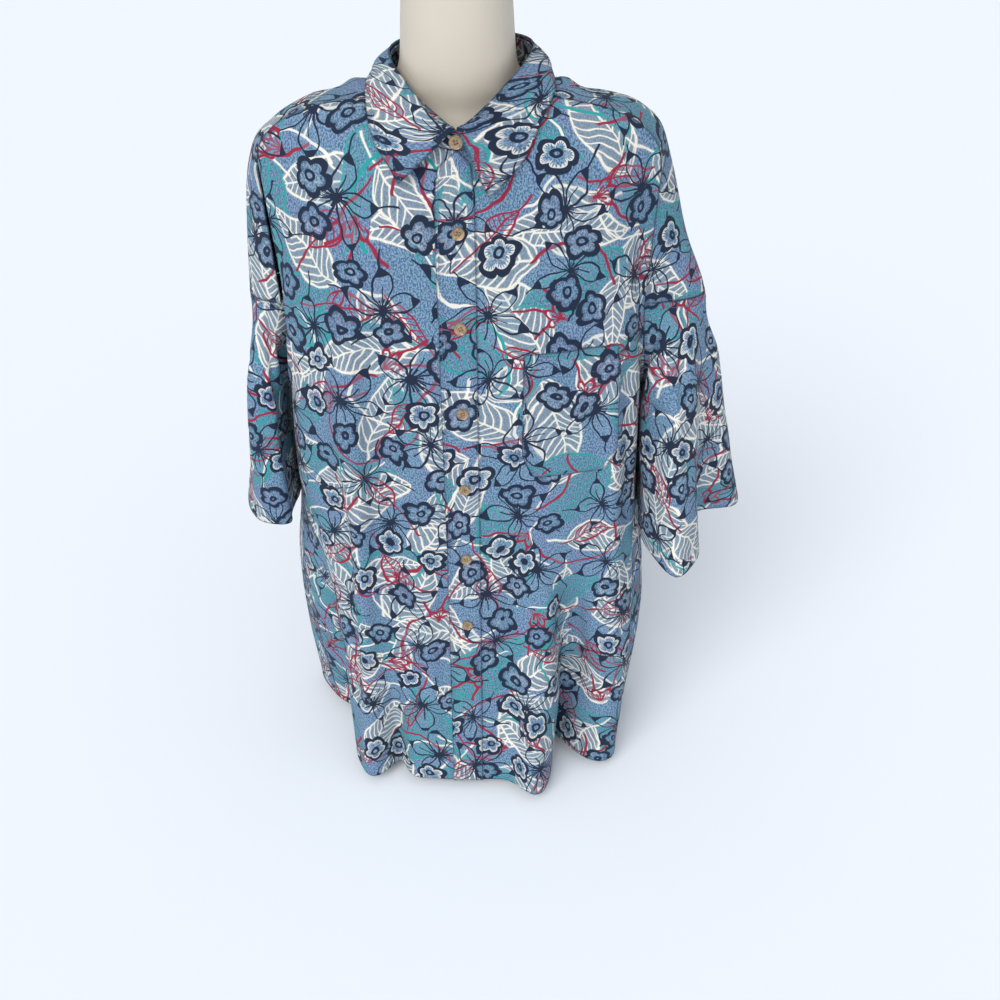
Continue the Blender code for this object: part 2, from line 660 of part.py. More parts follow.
def sleeve_sheet(side):
    """Sleeve: rows from the cuff to the yoke, columns round from the front of the underarm seam."""
    top_edge = mirrored(split_chords(yoke_half(side)[:, 0], 2), side)
    below = heights((CUFF_HEIGHT, 0), (UNDERARM_HEIGHT - UNDERARM_TURN, CUFF_ROWS), (UNDERARM_HEIGHT, 1))
    levels = below + ARM_LEVELS[1:-1]
    rows = [sleeve_row(side, level, top_edge) for level in levels]
    rows.append(mirrored(top_edge, side))
    sheet = np.array(rows)
    hang = CUFF_HANGS[side]
    low = smooth_step((UNDERARM_HEIGHT - UNDERARM_TURN - sheet[..., 2]) / (UNDERARM_HEIGHT - CUFF_HEIGHT))
    sheet[..., 2] += low * (hang.slope * sheet[..., 1] - hang.drop)
    return sheet


# ---------------------------------------------------------------- collar

def collar_fold(side, angle):
    """Upper edge of the collar, where the leaf folds over, by angle from the centre back."""
    angle = np.atleast_1d(angle)
    sine, cosine = np.sin(angle), np.cos(angle)
    ahead = cosine < 0.0
    reach = np.where(ahead, COLLAR_FRONT, COLLAR_BACK)
    power = np.where(ahead, COLLAR_POINTEDNESS, 1.0)
    x = COLLAR_HALF_WIDTH * np.sign(sine) * np.abs(sine) ** power + side * COLLAR_DRIFT * sine**2
    y = NECK_CENTRE + reach * np.sign(cosine) * np.abs(cosine) ** power
    height = COLLAR_BACK_HEIGHT - COLLAR_FALL * ((1.0 - cosine) / 2.0) ** COLLAR_FALL_POWER
    height += side * COLLAR_SWAY * sine**2
    return np.column_stack([x, y, height])


def collar_angles():
    """The angles of the neckline's points, so that the collar's columns stand on them."""
    behind = np.linspace(0.0, NECK_SEAM_ANGLE, NECK_COLUMNS * DETAIL + 1)
    ahead = np.linspace(NECK_SEAM_ANGLE, math.pi, DROP_COLUMNS * DETAIL + 1)
    return np.concatenate([behind, ahead[1:]])


def stand_half(side):
    """Collar stand: it laps past the centre front, the wearer's left end over the right one."""
    lap = math.pi + np.linspace(0.0, COLLAR_LAP, DETAIL + 1)
    angles = np.concatenate([collar_angles(), lap[1:]])
    low = neckline(angles)
    high = collar_fold(side, angles)
    rise = (high - low) / np.linalg.norm(high - low, axis=1)[:, None]
    low = low + (WALL / 2.0 + SEAM_GAP) * rise
    high = high - (WALL / 2.0 + SEAM_GAP) * rise
    lapped = smooth_step((angles - math.pi) / COLLAR_LAP + 2.0)
    outward = np.column_stack([np.sin(angles), np.cos(angles), np.zeros(len(angles))])
    shift = side * COLLAR_LAP_DEPTH * lapped[:, None] * outward
    rows = [low + t * (high - low) + shift for t in np.linspace(0.0, 1.0, STAND_ROWS * DETAIL + 1)]
    return mirrored(np.array(rows), side)


def leaf_half(side):
    """Collar leaf: rows from the fold down to the outer edge, columns from the centre back forward."""
    angles = np.minimum(collar_angles(), LEAF_END)
    fold = collar_fold(side, angles)
    outward = np.column_stack([np.sin(angles), np.cos(angles), np.zeros(len(angles))])
    stations = np.linspace(0.0, 12.0, len(angles))
    table = np.array(LEAF_EDGES[side])
    edge = hermite(table[:, 0], table[:, 1:], stations)
    crown = fold + LEAF_ROLL * 0.5 * outward + np.array([0.0, 0.0, LEAF_ROLL * 0.6])
    rolled = fold + LEAF_ROLL * outward
    rows = [crown, rolled]
    for t in np.linspace(0.0, 1.0, LEAF_ROWS * DETAIL + 1)[1:]:
        bulge = LEAF_BULGE * math.sin(math.pi * t)
        rows.append(rolled + t * (edge - rolled) + bulge * outward)
    return mirrored(np.array(rows), side)


def lifted_off(sheet, others, clearance):
    """A sheet whose points are moved out until they lie this far off the others' outer sides."""
    vertices = []
    faces = []
    for other in others:
        rows, columns = other.shape[:2]
        start = len(vertices)
        vertices.extend(tuple(point) for point in other.reshape(-1, 3))
        for row in range(rows - 1):
            for column in range(columns - 1):
                corner = start + row * columns + column
                faces.append((corner, corner + 1, corner + columns + 1, corner + columns))
    tree = BVHTree.FromPolygons(vertices, faces)
    lifted = sheet.copy()
    rows, columns = sheet.shape[:2]
    for _ in range(LIFT_ROUNDS):
        for size in (1, 2):
            for row, column in np.ndindex(rows - size + 1, columns - size + 1):
                patch = lifted[row : row + size, column : column + size]
                middle = Vector(patch.reshape(-1, 3).mean(axis=0))
                nearest, normal, _, _ = tree.find_nearest(middle)
                depth = (middle - nearest).dot(normal)
                if depth < clearance:
                    patch += (clearance - depth) * np.array(normal)
    return lifted


def joined_halves(half):
    """Both halves of a collar piece in one sheet, from the wearer's right front to the left front."""
    right = half(-1)
    left = half(+1)
    return np.concatenate([right[:, ::-1], left[:, 1:]], axis=1)


# ---------------------------------------------------------------- pieces laid on the panels

def sheet_normals(sheet):
    across = np.gradient(sheet, axis=1)
    up = np.gradient(sheet, axis=0)
    normal = np.cross(across, up)
    return normal / np.linalg.norm(normal, axis=2)[:, :, None]


def placket_sheet(front_left, front_right):
    """Strip over the centre front, from the hem to the neckline, moved out from both fronts."""
    rows = len(BODY_LEVELS) + DROP_COLUMNS * DETAIL
    sheet = []
    for row in range(rows):
        over = along(front_right[row], np.linspace(PLACKET_OUTER, 0.0, 2 * DETAIL + 1))
        under = along(front_left[row], np.linspace(0.0, PLACKET_INNER, 2 * DETAIL + 1))
        sheet.append(np.concatenate([over[:-1], under]))
    sheet = np.array(sheet)
    return sheet + (WALL + SEAM_GAP) * sheet_normals(sheet)


def pocket_sheet(front_left):
    """Pocket with clipped lower corners, made from the left front's own points, moved out."""
    bottom = HEM_ROWS * DETAIL
    top = len(BODY_LEVELS) - 1 - DETAIL
    columns = slice(POCKET_FIRST_COLUMN * DETAIL, POCKET_LAST_COLUMN * DETAIL + 1)
    outward = sheet_normals(front_left)[bottom : top + 1, columns]
    sheet = front_left[bottom : top + 1, columns] + (WALL + SEAM_GAP) * outward
    last = sheet.shape[1] - 1
    for row in range(DETAIL):
        clip = POCKET_CLIP * (DETAIL - row)
        sheet[row] = between(sheet[row], np.linspace(clip, last - clip, last + 1))
    return sheet


# ---------------------------------------------------------------- solids

def trimmed(sheet, first=True, last=True, low=True, high=True):
    """Sheet drawn back from its neighbours by half a seam gap at the chosen edges."""
    sheet = sheet.copy()
    inset = SEAM_GAP / 2.0

    def draw_back(edge, inner):
        step = inner - edge
        return edge + inset * step / np.linalg.norm(step, axis=-1, keepdims=True)

    if first:
        sheet[:, 0] = draw_back(sheet[:, 0], sheet[:, 1])
    if last:
        sheet[:, -1] = draw_back(sheet[:, -1], sheet[:, -2])
    if low:
        sheet[0] = draw_back(sheet[0], sheet[1])
    if high:
        sheet[-1] = draw_back(sheet[-1], sheet[-2])
    return sheet


def border_cells(rows, columns):
    """Row and column of each border point of a sheet, once round."""
    cells = [(0, column) for column in range(columns)]
    cells += [(row, columns - 1) for row in range(1, rows)]
    cells += [(rows - 1, column) for column in range(columns - 2, -1, -1)]
    cells += [(row, 0) for row in range(rows - 2, 0, -1)]
    return cells


def seam_normals(sheets):
    """Normals of sewn sheets. Where two edges meet they share one, so that their walls are mitred."""
    normals = {name: sheet_normals(sheet) for name, sheet in sheets.items()}
    cells = []
    for name, sheet in sheets.items():
        cells.extend((name, row, column) for row, column in border_cells(*sheet.shape[:2]))
    tree = KDTree(len(cells))
    for index, (name, row, column) in enumerate(cells):
        tree.insert(sheets[name][row, column], index)
    tree.balance()
    shared = {name: normal.copy() for name, normal in normals.items()}
    met = {name: np.zeros(sheet.shape[:2], bool) for name, sheet in sheets.items()}
    for name, row, column in cells:
        total = np.zeros(3)
        near = tree.find_range(sheets[name][row, column], SAME_POINT)
        for _, index, _ in near:
            other, other_row, other_column = cells[index]
            total += normals[other][other_row, other_column]
        shared[name][row, column] = total / np.linalg.norm(total)
        met[name][row, column] = len(near) > 1
    for name, sheet in sheets.items():
        ring = border_cells(*sheet.shape[:2])
        for before, here, after in zip(ring[-1:] + ring[:-1], ring, ring[1:] + ring[:1]):
            if met[name][before] and met[name][after] and not met[name][here]:
                shared[name][here] = 0.5 * (shared[name][before] + shared[name][after])
    return shared


def wall_mesh(sheet, normals):
    """Vertices and faces of the closed wall that has this sheet in its middle."""
    rows, columns = sheet.shape[:2]
    offset = normals * WALL / 2.0
    vertices = np.concatenate([(sheet + offset).reshape(-1, 3), (sheet - offset).reshape(-1, 3)])
    faces = []
    back = rows * columns

    def at(row, column):
        return row * columns + column

    for row in range(rows - 1):
        for column in range(columns - 1):
            quad = (at(row, column), at(row, column + 1), at(row + 1, column + 1), at(row + 1, column))
            faces.append(quad)
            faces.append(tuple(back + index for index in reversed(quad)))
    border = [at(row, column) for row, column in border_cells(rows, columns)]
    for here, there in zip(border, border[1:] + border[:1]):
        faces.append((here, back + here, back + there, there))
    return vertices, faces


def principled(name, colour, roughness):
    material = bpy.data.materials.new(name)
    material.use_nodes = True
    shader = material.node_tree.nodes["Principled BSDF"]
    shader.inputs["Base Color"].default_value = colour
    shader.inputs["Roughness"].default_value = roughness
    shader.inputs["Metallic"].default_value = 0.0
    return material


def add_object(name, vertices, faces, material):
    """New object from a closed mesh, triangulated and with its faces pointing out."""
    mesh = bpy.data.meshes.new(name)
    mesh.from_pydata([tuple(point) for point in vertices], [], faces)
    work = bmesh.new()
    work.from_mesh(mesh)
    bmesh.ops.triangulate(work, faces=work.faces[:])
    bmesh.ops.recalc_face_normals(work, faces=work.faces[:])
    if work.calc_volume(signed=True) < 0.0:
        bmesh.ops.reverse_faces(work, faces=work.faces[:])
    work.to_mesh(mesh)
    work.free()
    mesh.materials.append(material)
    thing = bpy.data.objects.new(name, mesh)
    bpy.context.collection.objects.link(thing)
    return thing


def add_cloth(name, sheet, normals, material):
    vertices, faces = wall_mesh(sheet, normals)
    return add_object(name, vertices, faces, material)


def add_button(name, centre, outward, material):
    """Round button with a bevelled rim, facing along outward."""
    outward = outward / np.linalg.norm(outward)
    across = np.array([1.0, 0.0, 0.0])
    across = across - outward * np.dot(across, outward)
    across /= np.linalg.norm(across)
    upward = np.cross(outward, across)
    rings = ((0.0, 0.80), (0.25, 1.00), (0.75, 1.00), (1.0, 0.82))
    vertices = []
    for lift, width in rings:
        for step in range(BUTTON_SIDES):
            turn = 2.0 * math.pi * step / BUTTON_SIDES
            spoke = math.cos(turn) * across + math.sin(turn) * upward
            vertices.append(centre + lift * BUTTON_THICKNESS * outward + width * BUTTON_RADIUS * spoke)
    faces = [tuple(range(BUTTON_SIDES))[::-1]]
    for ring in range(len(rings) - 1):
        for step in range(BUTTON_SIDES):
            here = ring * BUTTON_SIDES + step
            there = ring * BUTTON_SIDES + (step + 1) % BUTTON_SIDES
            faces.append((here, there, there + BUTTON_SIDES, here + BUTTON_SIDES))
    faces.append(tuple(range((len(rings) - 1) * BUTTON_SIDES, len(rings) * BUTTON_SIDES)))
    return add_object(name, vertices, faces, material)


def add_buttons(placket, stand, material):
    """One button on the collar stand's upper lap and six down the placket, just off the cloth."""
    lift = WALL / 2.0 + SEAM_GAP
    front = -1 - DETAIL
    low, high = stand[0, front], stand[-1, front]
    facing = np.cross(np.array([1.0, 0.0, 0.0]), high - low)
    facing /= np.linalg.norm(facing)
    add_button("button_1", low + COLLAR_BUTTON_RISE * (high - low) + lift * facing, facing, material)
    outward = sheet_normals(placket)
    column = 2 * DETAIL
    rows = placket[:, column]
    for number in range(PLACKET_BUTTONS):
        height = TOP_PLACKET_BUTTON - BUTTON_SPACING * number
        place = np.array([np.interp(height, rows[:, 2], rows[:, k]) for k in range(3)])
        facing = np.array([np.interp(height, rows[:, 2], outward[:, column, k]) for k in range(3)])
        add_button(f"button_{number + 2}", place + lift * facing, facing, material)


def oval_radius(half_width, half_depth, cosine, sine):
    """How far a slightly squared oval reaches in one direction."""
    if half_width == 0.0:
        return 0.0
    across = abs(cosine / half_width) ** FORM_SQUARENESS
    deep = abs(sine / half_depth) ** FORM_SQUARENESS
    return (across + deep) ** (-1.0 / FORM_SQUARENESS)


def add_form(material):
    """Dress form: a smooth lofted body with a flat base and a flat cap."""
    vertices = []
    for section in FORM:
        for step in range(FORM_SIDES):
            turn = 2.0 * math.pi * step / FORM_SIDES
            direction = math.atan2(section.half_depth * math.sin(turn), section.half_width * math.cos(turn))
            sine, cosine = math.sin(direction), math.cos(direction)
            shoulders = oval_radius(section.half_width, section.half_depth, cosine, sine)
            neck = oval_radius(section.neck_width, section.neck_depth, cosine, sine)
            reach = (shoulders**FORM_JOIN + neck**FORM_JOIN) ** (1.0 / FORM_JOIN)
            vertices.append((reach * cosine, section.centre + reach * sine, section.height))
    faces = [tuple(range(FORM_SIDES))[::-1]]
    for ring in range(len(FORM) - 1):
        for step in range(FORM_SIDES):
            here = ring * FORM_SIDES + step
            there = ring * FORM_SIDES + (step + 1) % FORM_SIDES
            faces.append((here, there, there + FORM_SIDES, here + FORM_SIDES))
    faces.append(tuple(range((len(FORM) - 1) * FORM_SIDES, len(FORM) * FORM_SIDES)))
    return add_object("dress_form", vertices, faces, material)


def main():
    for thing in list(bpy.data.objects):
        bpy.data.objects.remove(thing, do_unlink=True)

    cloth = principled("printed_cotton", PRINT_BLUE, 0.85)
    horn = principled("button_horn", BUTTON_BROWN, 0.35)
    form = principled("form_cream", FORM_CREAM, 0.45)

    sewn = {
        "front_left": front_sheet(+1),
        "front_right": front_sheet(-1)[:, ::-1],
        "back": back_sheet()[:, ::-1],
        "yoke": yoke_sheet(),
        "sleeve_left": sleeve_sheet(+1),
        "sleeve_right": sleeve_sheet(-1)[:, ::-1],
    }
    normals = seam_normals(sewn)
    for name, sheet in sewn.items():
        add_cloth(name, trimmed(sheet), normals[name], cloth)

    placket = placket_sheet(sewn["front_left"], sewn["front_right"][:, ::-1])
    stand = joined_halves(stand_half)
    below_leaf = [sewn["front_left"], sewn["front_right"], sewn["yoke"]]
    laid = {
        "placket": placket,
        "pocket": pocket_sheet(sewn["front_left"]),
        "collar_stand": stand,
        "collar_leaf": lifted_off(joined_halves(leaf_half), below_leaf, COLLAR_CLEARANCE),
    }
    for name, sheet in laid.items():
        add_cloth(name, sheet, sheet_normals(sheet), cloth)
    add_buttons(placket, stand, horn)
    add_form(form)


main()
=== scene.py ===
"""Printed short-sleeved shirt, buttoned up on a limbless dress form.

Metres, +Z up. The shirt faces -Y and the wearer's left is +X. Each cut piece of cloth is a sheet of
points: rows from the hem up, columns across. A sheet gets its creases, a thin wall and a UV map in
metres of cloth, which the print, the heather and the weave are drawn on.
"""

import math
from collections import namedtuple
from functools import reduce

import bpy
import numpy as np
from bpy.props import FloatProperty, FloatVectorProperty, PointerProperty
from mathutils import Matrix, Vector, noise
from mathutils.bvhtree import BVHTree
from mathutils.kdtree import KDTree


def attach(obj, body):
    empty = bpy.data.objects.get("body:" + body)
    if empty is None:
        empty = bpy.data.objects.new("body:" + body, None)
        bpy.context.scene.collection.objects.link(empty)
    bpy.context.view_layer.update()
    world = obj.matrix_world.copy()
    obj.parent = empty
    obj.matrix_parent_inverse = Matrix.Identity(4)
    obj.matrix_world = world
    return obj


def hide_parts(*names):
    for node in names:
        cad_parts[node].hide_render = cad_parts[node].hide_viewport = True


bl_info = {
    "name": "Printed shirt on a dress form",
    "version": (1, 0, 0),
    "blender": (4, 5, 0),
    "location": "3D View > Sidebar > Shirt",
    "description": "Builds a printed short-sleeved shirt on a dress form, and its stage",
    "category": "Add Mesh",
}

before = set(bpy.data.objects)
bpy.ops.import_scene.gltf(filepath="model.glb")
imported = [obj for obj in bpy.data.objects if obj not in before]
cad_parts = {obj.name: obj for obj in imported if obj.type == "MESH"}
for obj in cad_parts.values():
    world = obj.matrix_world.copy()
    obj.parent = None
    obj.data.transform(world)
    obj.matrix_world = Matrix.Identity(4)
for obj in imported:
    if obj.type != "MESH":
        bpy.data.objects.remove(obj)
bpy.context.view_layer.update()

# Density of the sheets: 1 gives about 18 mm between points, 6 about 3 mm.
DETAIL = 6

# Thickness of the cotton, the space left at a seam, and how near (also in digits) two points are one
WALL = 0.0007
SEAM_GAP = 0.0006
SAME_POINT = 0.00001
SAME_DIGITS = 5

# Heights above the surface that the form stands on
HEM_HEIGHT = 0.015
CUFF_HEIGHT = 0.330
POCKET_BOTTOM = 0.421
UNDERARM_HEIGHT = 0.475
POCKET_TOP = 0.550
SLEEVE_SEAM_HEIGHT = 0.575
NECK_FRONT_HEIGHT = 0.732
UNDERARM_TURN = 0.006

# Front edge, pocket and buttons
PLACKET_OUTER = 0.0195
PLACKET_INNER = 0.0145
BUTTON_SPACING = 0.0858
TOP_PLACKET_BUTTON = 0.665
COLLAR_BUTTON_RISE = 0.40
BUTTON_RADIUS = 0.0055
BUTTON_THICKNESS = 0.0026
PLACKET_BUTTONS = 6

# Columns of a front panel, eight even ones out to the pocket's far side, then the rest; and rows below it
FRONT_PITCH = 0.0185
PITCHED_COLUMNS = 8
PLAIN_COLUMNS = 5
TURN_COLUMNS = 3
HEM_ROWS = 12
POCKET_FIRST_COLUMN = 3
POCKET_LAST_COLUMN = 8
POCKET_CLIP = 0.60
BACK_PLAIN_COLUMNS = 11

# Columns and rows of the yoke, for one shoulder
DROP_COLUMNS = 4
SLOPE_COLUMNS = 8
NECK_COLUMNS = 6
YOKE_ROWS = 12

# Armhole: how far in front of and behind the side it lies, and the radius of the fold beside it
ARMHOLE_FRONT = 0.041
ARMHOLE_BACK = 0.050
ARMHOLE_ARCH = 0.075
ARMHOLE_LEAST = 0.0012
FOLD_RADIUS = 0.004
TURN_STEPS = 6

# Evening out above the sleeve seams: rows below them, rounds, and the share of the way in each round
RELAXED_ROWS = 2
FRONT_ROUNDS = 4
BACK_ROUNDS = 3
RELAX_SHARE = 0.5

# Horizontal sections of the body, seen from above: height, half width, and how far the front and back reach
BODY_SQUARENESS = 3.0
BODY = (
    (0.015, 0.188, 0.132, 0.105),
    (0.120, 0.197, 0.118, 0.105),
    (0.230, 0.197, 0.106, 0.103),
    (0.330, 0.186, 0.100, 0.101),
    (0.475, 0.173, 0.100, 0.100),
    (0.600, 0.168, 0.100, 0.098),
    (0.700, 0.166, 0.098, 0.096),
)

# Folds: side (+1 is the wearer's left), distance round from the centre front where the fold starts and at
# the hem, half width, depth (+ is outward), the height where it starts and the height where it is full
Fold = namedtuple("Fold", "side upper lower half_width depth start full")
FOLDS = [Fold(*row) for row in (
    (+1, 0.135, 0.170, 0.022, +0.008, 0.66, 0.48),
    (+1, 0.070, 0.075, 0.022, +0.026, 0.34, 0.02),
    (+1, 0.105, 0.120, 0.021, -0.060, 0.34, 0.02),
    (+1, 0.215, 0.225, 0.028, -0.020, 0.46, 0.10),
    (+1, 0.275, 0.285, 0.026, +0.006, 0.44, 0.12),
    (+1, 0.350, 0.360, 0.024, -0.022, 0.44, 0.04),
    (+1, 0.410, 0.425, 0.026, +0.016, 0.42, 0.03),
    (+1, 0.465, 0.485, 0.022, -0.014, 0.40, 0.03),
    (-1, 0.105, 0.116, 0.018, +0.010, 0.70, 0.45),
    (-1, 0.088, 0.088, 0.014, -0.024, 0.24, 0.02),
    (-1, 0.180, 0.210, 0.050, -0.072, 0.46, 0.02),
    (-1, 0.285, 0.325, 0.030, +0.020, 0.45, 0.10),
    (-1, 0.365, 0.385, 0.024, -0.018, 0.44, 0.04),
    (-1, 0.415, 0.435, 0.024, +0.016, 0.42, 0.03),
    (-1, 0.465, 0.480, 0.022, -0.014, 0.40, 0.03),
)]
FOLD_FADE = 0.030

# Horizontal sections of a sleeve: the inner side's distance from the centre plane, then where the front,
# the front crest, the trough behind it, the outer side and the back lie
SleeveSection = namedtuple(
    "SleeveSection",
    "height inner front_x front_y crest_x crest_y trough_x trough_y outer_x outer_y back_x back_y",
)
SLEEVES = {
    +1: (
        (0.330, 0.1860, 0.216, -0.116, 0.238, -0.090, 0.248, -0.020, 0.292, -0.008, 0.240, 0.095),
        (0.400, 0.1820, 0.212, -0.100, 0.228, -0.080, 0.240, -0.030, 0.273, -0.010, 0.228, 0.094),
        (0.475, 0.1785, 0.207, -0.082, 0.220, -0.068, 0.234, -0.035, 0.256, -0.010, 0.215, 0.088),
        (0.530, 0.177, 0.196, -0.066, 0.212, -0.055, 0.228, -0.032, 0.244, -0.008, 0.205, 0.078),
        (0.575, 0.175, 0.186, -0.055, 0.208, -0.048, 0.224, -0.032, 0.233, -0.008, 0.202, 0.070),
    ),
    -1: (
        (0.330, 0.1865, 0.1875, -0.050, 0.215, -0.050, 0.232, -0.030, 0.243, 0.010, 0.218, 0.098),
        (0.400, 0.186, 0.1860, -0.053, 0.210, -0.053, 0.222, -0.030, 0.229, 0.008, 0.209, 0.096),
        (0.475, 0.181, 0.1835, -0.056, 0.203, -0.054, 0.212, -0.030, 0.219, 0.005, 0.203, 0.086),
        (0.530, 0.177, 0.184, -0.056, 0.196, -0.050, 0.206, -0.028, 0.212, 0.000, 0.197, 0.074),
        (0.575, 0.175, 0.182, -0.052, 0.192, -0.045, 0.200, -0.028, 0.206, -0.004, 0.192, 0.062),
    ),
}
# Columns of a sleeve: beside the armhole, on to the crest, round to the back, inward, beside the armhole
SLEEVE_COLUMNS = (2, 4, 12, 4, 2)
KNOT_STEPS = 10
CREST_KNOT = 3
BACK_KNOT = 7

# The rest of a sleeve's section: how far along its inner side turns, and where the outside goes to the back
INNER_SHARE = 0.65
INNER_FRONT_STEP = 0.003
INNER_BACK_STEP = 0.006
OUTER_BACK_SHARE = 0.60
OUTER_BACK_DEPTH = 0.75

# The cuff hangs lower towards the front: its slope from back to front, and its drop at the middle
CuffHang = namedtuple("CuffHang", "slope drop")
CUFF_HANGS = {+1: CuffHang(0.130, 0.0065), -1: CuffHang(0.010, 0.0)}
SLEEVE_BLEND_HEIGHT = 0.500
SLEEVE_EDGE_POWER = 6
CUFF_ROWS = 6

# Stations across a shoulder, from the sleeve seam (0) on: its edge, the side of the neck, the centre back
EDGE_STATION = 4.0
NECK_STATION = 12.0
BACK_STATION = 15.0

# The ridge of each shoulder: station, x and height
RIDGE_DEPTH = -0.008
RIDGES = {
    +1: (
        (0.0, 0.2315, 0.5750),
        (1.5, 0.2070, 0.6230),
        (2.8, 0.1950, 0.6630),
        (4.0, 0.1825, 0.7050),
        (5.0, 0.1740, 0.7260),
        (6.2, 0.1590, 0.7400),
        (8.6, 0.1280, 0.7530),
        (10.4, 0.1035, 0.7565),
        (12.0, 0.0800, 0.7635),
    ),
    -1: (
        (0.0, 0.2035, 0.5750),
        (1.5, 0.1985, 0.6230),
        (2.8, 0.1940, 0.6600),
        (4.0, 0.1880, 0.6900),
        (5.0, 0.1780, 0.7160),
        (6.2, 0.1610, 0.7320),
        (8.6, 0.1280, 0.7510),
        (10.4, 0.1035, 0.7565),
        (12.0, 0.0800, 0.7635),
    ),
}

# The yoke's front seam as far as the neckline, and its back seam: station, x, y and height
YOKE_FRONT_SEAM = (
    (4.0, 0.1720, -0.043, 0.7000),
    (5.0, 0.1680, -0.044, 0.7180),
    (6.2, 0.1560, -0.046, 0.7330),
    (8.6, 0.1240, -0.049, 0.7500),
)
YOKE_BACK_SEAM = (
    (4.0, 0.1660, 0.058, 0.672),
    (6.0, 0.1500, 0.077, 0.684),
    (9.0, 0.1120, 0.091, 0.690),
    (12.0, 0.0680, 0.097, 0.694),
    (15.0, 0.0000, 0.099, 0.695),
)

# Fullest line of the yoke round the back of the neck, on from the shoulders' ridges: the same columns
NECK_RIDGE = (
    (13.0, 0.0700, 0.036, 0.7540),
    (14.0, 0.0410, 0.071, 0.7440),
    (15.0, 0.0000, 0.085, 0.7390),
)

# Neckline and collar, by angle from the centre back (0) to the centre front (pi)
NECK_CENTRE = -0.012
NECK_HALF_WIDTH = 0.069
NECK_BACK = 0.072
NECK_FRONT = 0.088
NECK_SEAM_ANGLE = math.radians(112.0)
NECK_SIDE_RISE = 0.033
NECK_BACK_RISE = 0.001
NECK_FALL_POWER = 5
COLLAR_HALF_WIDTH = 0.058
COLLAR_BACK = 0.062
COLLAR_FRONT = 0.0885
COLLAR_BACK_HEIGHT = 0.789
COLLAR_FALL = 0.036
COLLAR_FALL_POWER = 4
COLLAR_POINTEDNESS = 1.4
COLLAR_DRIFT = 0.0025
COLLAR_SWAY = 0.0020
COLLAR_NOTCH = 0.0050
COLLAR_NOTCH_REACH = 0.50
COLLAR_NOTCH_POWER = 1.3
COLLAR_LAP = (math.pi - NECK_SEAM_ANGLE) / DROP_COLUMNS
COLLAR_LAP_DEPTH = 0.0010
COLLAR_LAPS_AHEAD = 2.0
COLLAR_CLEARANCE = 0.0035
LIFT_ROUNDS = 4
STAND_ROWS = 2
LEAF_ROWS = 5
LEAF_ROLL = 0.0035
LEAF_BULGE = 0.004
LEAF_CROWN_OUT = 0.5
LEAF_CROWN_RISE = 0.6
LEAF_END = math.radians(177.0)

# Outer edge of the collar leaf: station from the centre back to the front, x, y and height
LEAF_END_STATION = 12.0
LEAF_EDGES = {
    +1: (
        (0.0, 0.0000, 0.0830, 0.7500),
        (3.0, 0.0500, 0.0660, 0.7570),
        (5.0, 0.0730, 0.0300, 0.7670),
        (7.0, 0.0780, -0.0120, 0.7710),
        (8.5, 0.0795, -0.0400, 0.7600),
        (10.0, 0.0640, -0.0730, 0.7370),
        (11.0, 0.0457, -0.0980, 0.7130),
        (12.0, 0.0250, -0.1080, 0.6970),
    ),
    -1: (
        (0.0, 0.0000, 0.0830, 0.7500),
        (3.0, 0.0500, 0.0660, 0.7570),
        (5.0, 0.0690, 0.0300, 0.7670),
        (7.0, 0.0725, -0.0120, 0.7710),
        (8.5, 0.0755, -0.0380, 0.7620),
        (10.0, 0.0665, -0.0780, 0.7340),
        (11.0, 0.0555, -0.0930, 0.7190),
        (12.0, 0.0470, -0.1040, 0.7060),
    ),
}


# ---------------------------------------------------------------- curves and sections

def smooth_step(value):
    value = np.clip(value, 0.0, 1.0)
    return value * value * (3.0 - 2.0 * value)


def hermite(knots, values, at):
    """Smooth curve through values at rising knots, read at each place in at."""
    knots = np.asarray(knots, float)
    values = np.asarray(values, float)
    at = np.atleast_1d(np.asarray(at, float))
    slopes = np.gradient(values, knots, axis=0)
    index = np.clip(np.searchsorted(knots, at, side="right") - 1, 0, len(knots) - 2)
    span = knots[index + 1] - knots[index]
    t = np.clip((at - knots[index]) / span, 0.0, 1.0)
    if values.ndim > 1:
        span = span[:, None]
        t = t[:, None]
    start = (1 + 2 * t) * (1 - t) ** 2 * values[index] + t * (1 - t) ** 2 * span * slopes[index]
    end = t * t * (3 - 2 * t) * values[index + 1] - t * t * (1 - t) * span * slopes[index + 1]
    return start + end


def read_table(table, at):
    """Every column but the first of a table, read smoothly at values of the first column."""
    rows = np.array(table, float)
    return hermite(rows[:, 0], rows[:, 1:], at)


def interpolated(at, places, values):
    """Every column of a table, read on straight lines between its rows' places."""
    return np.stack([np.interp(at, places, column) for column in values.T], axis=-1)


def evenly(*stops):
    """Places spread evenly between stops of (place, coarse spaces up to it)."""
    places = [stops[0][0]]
    for (low, _), (high, spaces) in zip(stops, stops[1:]):
        places.extend(np.linspace(low, high, spaces * DETAIL + 1)[1:])
    return places


def distances(points, axis=0):
    """Distance along a line of points from its start, or along every line of a sheet on one axis."""
    steps = np.linalg.norm(np.diff(points, axis=axis), axis=-1)
    return np.concatenate([np.zeros_like(steps.take([0], axis)), np.cumsum(steps, axis=axis)], axis=axis)


def along(points, stations):
    """Points of a line at the given distances along it."""
    return interpolated(stations, distances(points), points)


def between(points, places):
    """Points on a line's chords, by place counted in points from its start."""
    return interpolated(places, np.arange(len(points)), points)


def split_chords(points, pieces):
    """Each chord of a line divided into equal pieces, so that the new line lies on the old one."""
    return between(points, np.linspace(0.0, len(points) - 1, (len(points) - 1) * pieces + 1))


